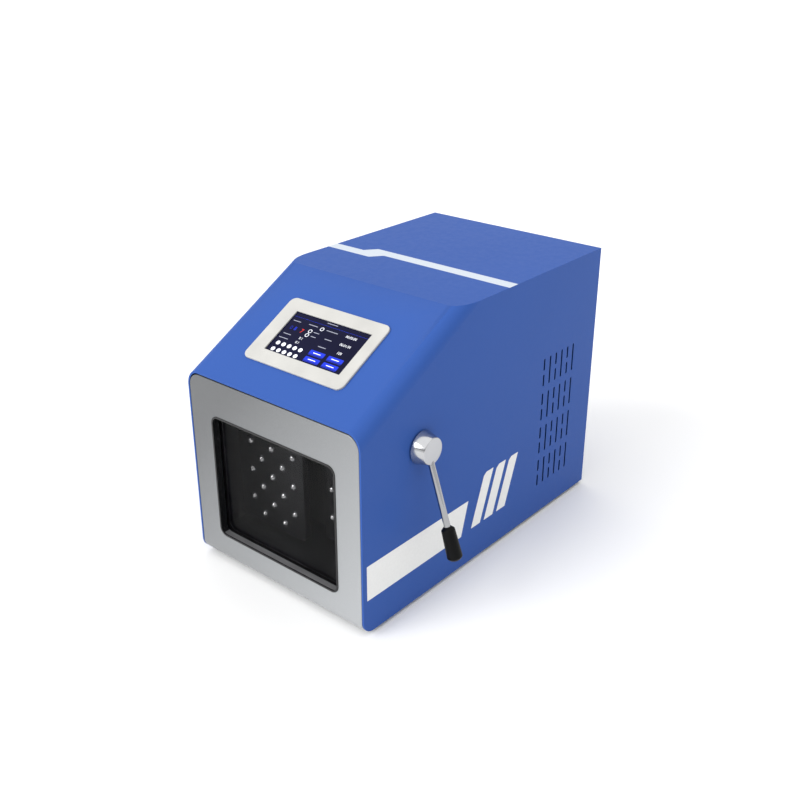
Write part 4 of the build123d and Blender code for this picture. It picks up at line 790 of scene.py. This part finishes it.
    def number(self, name, text, across, up, tall, material):
        """A number as a thin mesh, made flat and then laid on the glass."""
        line = bpy.data.curves.new(name + "_type", "FONT")
        line.body = text
        line.size = tall * 1.4
        line.align_x = line.align_y = "CENTER"
        line.extrude = FILM
        line.resolution_u = 3
        carrier = placed(name + "_type", line)
        mesh = bpy.data.meshes.new_from_object(carrier.evaluated_get(bpy.context.evaluated_depsgraph_get()))
        bpy.data.objects.remove(carrier)
        flat = coordinates(mesh)
        laid = place_on(self.plane, flat[:, :2] + (across, up), flat[:, 2])
        mesh.vertices.foreach_set("co", laid.ravel())
        mesh.update()
        settle(placed(name, mesh), material, "display_panel")


class PADDLE_OT_door(bpy.types.Operator):
    """Finishes the door, the window's frame and pane, and the metal behind them"""
    bl_idname = "paddle.door"
    bl_label = "Door and window"

    def execute(self, context):
        tones, edges = context.scene.paddle_colours, context.scene.paddle_edges
        soften("door_panel", satin_silver("silver_coat", tones.door_silver), edges.sheet_edge)
        # The lighter grey given for the window's lower ledge is a painted highlight
        soften("window_frame", moulding_with_painted_ledge_highlight(
            "window_moulding", tones.frame_black, paint(112, 112, 114),
            float(low("window_frame")[1]) + LEDGE_DEPTH, float(low("window_pane")[2]) + LEDGE_RISE),
            edges.moulded_edge)
        coat(("window_pane",), plain("pane", "smoke_pane", tones.pane_smoke))
        coat(("door_inner_plate",), brushed("brushed_door_plate", (0.34, 0.34, 0.35), 0.34, (0.02, 1, 1)))
        coat(("striker_pins", "hinge_pins"), brushed("ground_pins", (0.46, 0.46, 0.48), 0.22, (0.05, 1, 1)))
        return {"FINISHED"}


class PADDLE_OT_chamber(bpy.types.Operator):
    """Finishes the chamber's box, its seal, the paddles and their studs"""
    bl_idname = "paddle.chamber"
    bl_label = "Chamber and paddles"

    def execute(self, context):
        edges = context.scene.paddle_edges
        coat(("chamber_liner",),
             brushed("brushed_liner", (0.09, 0.09, 0.095), 0.42, (1, 1, 0.05), 0.000002, 260.0))
        soften("chamber_gasket", plain("rubber", "seal_rubber", paint(58, 58, 60)), edges.moulded_edge)
        coat(("shaft_wipers",), plain("rubber", "wiper_rubber", paint(24, 24, 25)))
        plate = brushed("brushed_paddles", (0.075, 0.075, 0.08), 0.46, (0.05, 1, 1), 0.000002, 260.0)
        dome = plain("chrome", "stud_chrome", (0.92, 0.92, 0.94), 0.24)
        for side in ("left", "right"):
            soften("paddle_plate_" + side, plate, edges.machined_edge)
            soften("paddle_studs_" + side, dome, 0.0, 50.0)
        return {"FINISHED"}


class PADDLE_OT_lever(bpy.types.Operator):
    """Turns the lever's hub, rod and grip anew as smooth surfaces"""
    bl_idname = "paddle.lever"
    bl_label = "Lever"

    def execute(self, context):
        joint = next(joint for joint in frame["joints"] if joint["name"] == "lever_turn")
        pivot = np.array(joint["pos_m"])
        tones = context.scene.paddle_colours
        hub_low, hub_high = low("lever_hub"), high("lever_hub")
        wall_gap = hub_low[0] - pivot[0]
        tall = hub_high[0] - pivot[0]
        base_radius = (hub_high[1] - hub_low[1]) / 2
        hub = soft_profile([(0.0, wall_gap), (base_radius - HUB_FOOT, wall_gap),
                            (base_radius, wall_gap + HUB_BAND), (base_radius - HUB_TAPER, tall), (0.0, tall)],
                           np.array([0, 0.0004, 0.0005, 0.0011, 0]))
        chrome = turned_chrome("hub_chrome", (0.52, 0.525, 0.54), float(pivot[1]), float(pivot[2]),
                               float(hub_high[0]))
        self.turned("hub_turning", hub, pivot, (1, 0, 0), 96, 50.0, chrome, "lever_hub")
        self.rod_and_grip(pivot, tones)
        coat(("latch_shaft",), brushed("ground_latch_shaft", (0.46, 0.46, 0.48), 0.24, (0.05, 1, 1)))
        return {"FINISHED"}

    def turned(self, name, profile, start, axis, count, smooth, material, node):
        """A turning that stands for a node of the lever."""
        piece = build(name, [turning(profile, start, axis, count)], smooth)
        settle(piece, material, node)
        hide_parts(node)

    def rod_and_grip(self, pivot, tones):
        """The rod is a plain turning. The grip's profile swells from its neck to its end."""
        rod_low, rod_high = low("lever_rod"), high("lever_rod")
        radius = (rod_high[1] - rod_low[1]) / 2
        tilt = math.atan2(ROD_REACH - ROD_THICK * math.cos(ROD_LEAN),
                          rod_high[2] - rod_low[2] - ROD_THICK * math.sin(ROD_LEAN))
        axis = np.array([math.sin(tilt), 0.0, -math.cos(tilt)])
        start = np.array([rod_low[0] + radius * math.cos(tilt), pivot[1],
                          rod_high[2] - radius * math.sin(tilt)])
        span = (rod_high[2] - rod_low[2] - 2 * radius * math.sin(tilt)) / math.cos(tilt)
        rod = soft_profile([(0, 0), (radius, 0), (radius, span), (0, span)],
                           np.array([0, 0.0003, 0.0003, 0]))
        self.turned("rod_turning", rod, start, axis, 64, 50.0,
                    plain("chrome", "rod_chrome", (0.36, 0.365, 0.38)), "lever_rod")
        long, wall, shoulder = 0.037, 0.006, 0.003
        thin, thick = 0.0072, 0.0083
        neck = start + axis * (span + wall - long)
        grip = soft_profile([(radius, 0), (thin - shoulder, 0), (thin, shoulder), (thick, long - shoulder),
                             (thick - shoulder, long), (0, long)],
                            np.array([0, 0.0007, 0.0024, 0.0026, 0.0022, 0]), 8)
        self.turned("grip_turning", grip, neck, axis, 72, 60.0,
                    plain("moulding", "grip_moulding", tones.moulding_black, specular=0.12), "lever_grip")


class PADDLE_OT_rear(bpy.types.Operator):
    """Finishes the fan, the inlet, the switch and the screws of the rear panel"""
    bl_idname = "paddle.rear"
    bl_label = "Rear fittings"

    def execute(self, context):
        tones, edges = context.scene.paddle_colours, context.scene.paddle_edges
        black = plain("moulding", "rear_moulding", tones.moulding_black, 0.45)
        for node in ("mains_inlet", "switch_bezel", "power_rocker"):
            soften(node, black, edges.machined_edge)
        coat(("fan_frame", "fan_rotor"), black)
        self.screws(edges)
        self.marks(context)
        return {"FINISHED"}

    def screws(self, edges):
        """Button heads with a round socket, at the places of the frame's own screws."""
        places = coordinates_of("rear_screws")
        face = places[:, 1].max()
        heads = places[places[:, 1] > face - 1e-5][:, [0, 2]]
        together = np.linalg.norm(heads[:, None] - heads[None], axis=2) < HEAD_SPACING
        first = together.argmax(axis=1)
        found = [(heads[first == label].min(axis=0) + heads[first == label].max(axis=0)) / 2
                 for label in np.unique(first)]
        radius, tall, shank, deep = 0.0033, 0.0018, 0.0017, 0.004
        turn = np.linspace(0, math.pi / 2, 7)
        dome = np.stack([radius * (0.6 + 0.4 * np.cos(turn)), tall * np.sin(turn)], axis=1)
        socket = edges.screw_socket
        head = np.concatenate([[(0, 0)], dome, [(socket * 1.15, tall), (socket, tall - 0.0001),
                                                (socket, tall * 0.4), (0, tall * 0.3)]])
        body = [(0, -deep), (shank, -deep), (shank, 0.0001), (0, 0.0001)]
        places = [(across, face - tall, up) for across, up in found]
        shells = [turning(profile, place, (0, 1, 0), count)
                  for profile, count in ((head, 24), (body, 16)) for place in places]
        piece = build("rear_screw_turnings", shells, 40.0)
        settle(piece, zinc("screw_zinc"), "rear_screws")
        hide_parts("rear_screws")

    def marks(self, context):
        """The usual line and circle of a power switch, on the rocker's face."""
        foot, peak = low("power_rocker"), high("power_rocker")
        centre = (foot + peak) / 2
        plane = ((centre[0], peak[1], centre[2]), (-1, 0, 0), (0, 0, 1), (0, 1, 0))
        ink = plain("ink", "switch_ink", context.scene.paddle_colours.print_white)
        away, sunk, proud, half = (peak[2] - centre[2]) * 0.45, -0.0004, 0.00004, 0.0002
        line = rounded_box(0.0004, 0.0016, half, 3) - (0, away)
        ring = circle(0.0011, 32) + (0, away)
        stroke = np.array([(-half, sunk), (half, sunk), (half, proud), (-half, proud)])
        piece = build("switch_marks", [slab(line, plane, sunk, proud), ring_sweep(ring, stroke, plane)])
        settle(piece, ink, "power_rocker")


class PADDLE_OT_inside(bpy.types.Operator):
    """Gives every inner piece of the drive, the guides and the electrics its finish"""
    bl_idname = "paddle.inside"
    bl_label = "Inner pieces"

    def execute(self, context):
        machined = brushed("machined_aluminium", (0.62, 0.62, 0.64), 0.34, (1, 0.04, 1), 0.00001, 600.0)
        ground = brushed("ground_steel", (0.48, 0.48, 0.50), 0.20, (0.05, 1, 1))
        coat(("bearing_plate", "latch_blocks", "power_supply", "crosshead_left", "crosshead_right",
              "connecting_rod_left", "connecting_rod_right", "crank_pulley", "motor_pulley"), machined)
        coat(("guide_shafts_left", "guide_shafts_right"),
             brushed("ground_guides", (0.50, 0.50, 0.52), 0.16, (1, 0.05, 1)))
        coat(("crank_shaft", "eccentric_cams", "crank_bearings", "wrist_pin_left", "wrist_pin_right",
              "motor_shaft"), ground)
        coat(("guide_bushes", "lever_bush"), sintered("sintered_bronze"))
        coat(("crank_stands",), plain("casting", "painted_casting", (0.10, 0.11, 0.12)))
        coat(("motor_body",), powder_coat("motor_enamel", paint(48, 48, 52), 0.5))
        coat(("drive_belt",), plain("rubber", "belt_rubber", paint(26, 26, 27)))
        return {"FINISHED"}


class PADDLE_OT_stage(bpy.types.Operator):
    """Sets the pale floor, the soft studio light and the camera"""
    bl_idname = "paddle.stage"
    bl_label = "Stage"

    def execute(self, context):
        sizes, tones = context.scene.paddle_stage, context.scene.paddle_colours
        plane = ((0, 0, 0), (1, 0, 0), (0, 1, 0), (0, 0, 1))
        floor = build("stage_floor", [slab(rounded_box(sizes.floor_half, sizes.floor_half, 1.0), plane,
                                           -0.02, -0.0002)])
        floor.data.materials.append(plain("floor", "pale_floor", tones.floor_pale))
        light = bpy.data.lights.new("key_light", "SUN")
        light.energy = sizes.key_strength
        light.angle = sizes.key_spread
        lamp = placed("key_light", light)
        lamp.rotation_euler = Vector(sizes.key_from).to_track_quat("Z", "Y").to_euler()
        self.surround(context, sizes)
        context.scene.view_settings.view_transform = "Standard"
        camera = bpy.data.cameras.new("photo_camera")
        camera.lens = sizes.lens
        camera.sensor_width = SENSOR_WIDTH
        camera.clip_start = 0.05
        carrier = placed("photo_camera", camera)
        carrier.location = sizes.camera_place
        carrier.rotation_euler = (math.pi / 2 - sizes.camera_dip, 0.0, sizes.camera_turn)
        context.scene.camera = carrier
        return {"FINISHED"}

    def surround(self, context, sizes):
        """White surround with a dimmer belt. Its strength follows the height of the direction: it falls from
        the horizon to the belt and rises again overhead."""
        world = bpy.data.worlds.new("white_surround")
        world.use_nodes = True
        tree = world.node_tree
        apart = tree.nodes.new("ShaderNodeSeparateXYZ")
        tree.links.new(tree.nodes.new("ShaderNodeTexCoord").outputs["Generated"], apart.inputs["Vector"])
        total = tree.nodes.new("ShaderNodeMath")
        total.operation = "ADD"
        bands = ((0.10, 0.30, sizes.sky_horizon, 0.0), (0.20, 0.75, sizes.sky_belt, sizes.sky_high))
        for socket, (start, end, before, after) in zip(total.inputs, bands):
            slope = tree.nodes.new("ShaderNodeMapRange")
            slope.interpolation_type = "SMOOTHSTEP"
            set_sockets(slope, {"From Min": start, "From Max": end, "To Min": before, "To Max": after})
            tree.links.new(apart.outputs["Z"], slope.inputs["Value"])
            tree.links.new(slope.outputs["Result"], socket)
        ground = tree.nodes["Background"]
        set_sockets(ground, {"Color": (1.0, 1.0, 1.0, 1.0)})
        tree.links.new(total.outputs["Value"], ground.inputs["Strength"])
        context.scene.world = world


STEPS = (PADDLE_OT_cover, PADDLE_OT_print, PADDLE_OT_display, PADDLE_OT_door, PADDLE_OT_chamber,
         PADDLE_OT_lever, PADDLE_OT_rear, PADDLE_OT_inside, PADDLE_OT_stage)
GROUPS = {"paddle_colours": BlenderColours, "paddle_print": BlenderPrint, "paddle_display": BlenderDisplay,
          "paddle_edges": BlenderEdges, "paddle_stage": BlenderStage}


class PADDLE_PT_panel(bpy.types.Panel):
    """Steps and sizes of the paddle blender's looks"""
    bl_label = "Paddle blender"
    bl_idname = "PADDLE_PT_panel"
    bl_space_type = "VIEW_3D"
    bl_region_type = "UI"
    bl_category = "Paddle blender"

    def draw(self, context):
        for step in STEPS:
            self.layout.operator(step.bl_idname)
        for name, group in GROUPS.items():
            box = self.layout.box()
            for entry in group.__annotations__:
                box.prop(getattr(context.scene, name), entry)


def register():
    """Registers the groups of sizes, the steps and the panel."""
    for kind in (*GROUPS.values(), *STEPS, PADDLE_PT_panel):
        bpy.utils.register_class(kind)
    for name, group in GROUPS.items():
        setattr(bpy.types.Scene, name, PointerProperty(type=group))


def unregister():
    """Takes out what register put in."""
    for name in GROUPS:
        delattr(bpy.types.Scene, name)
    for kind in (PADDLE_PT_panel, *reversed(STEPS), *reversed(tuple(GROUPS.values()))):
        bpy.utils.unregister_class(kind)


def main():
    """Runs the steps in order."""
    register()
    for step in STEPS:
        group, name = step.bl_idname.split(".")
        getattr(getattr(bpy.ops, group), name)()


if __name__ == "__main__":
    main()
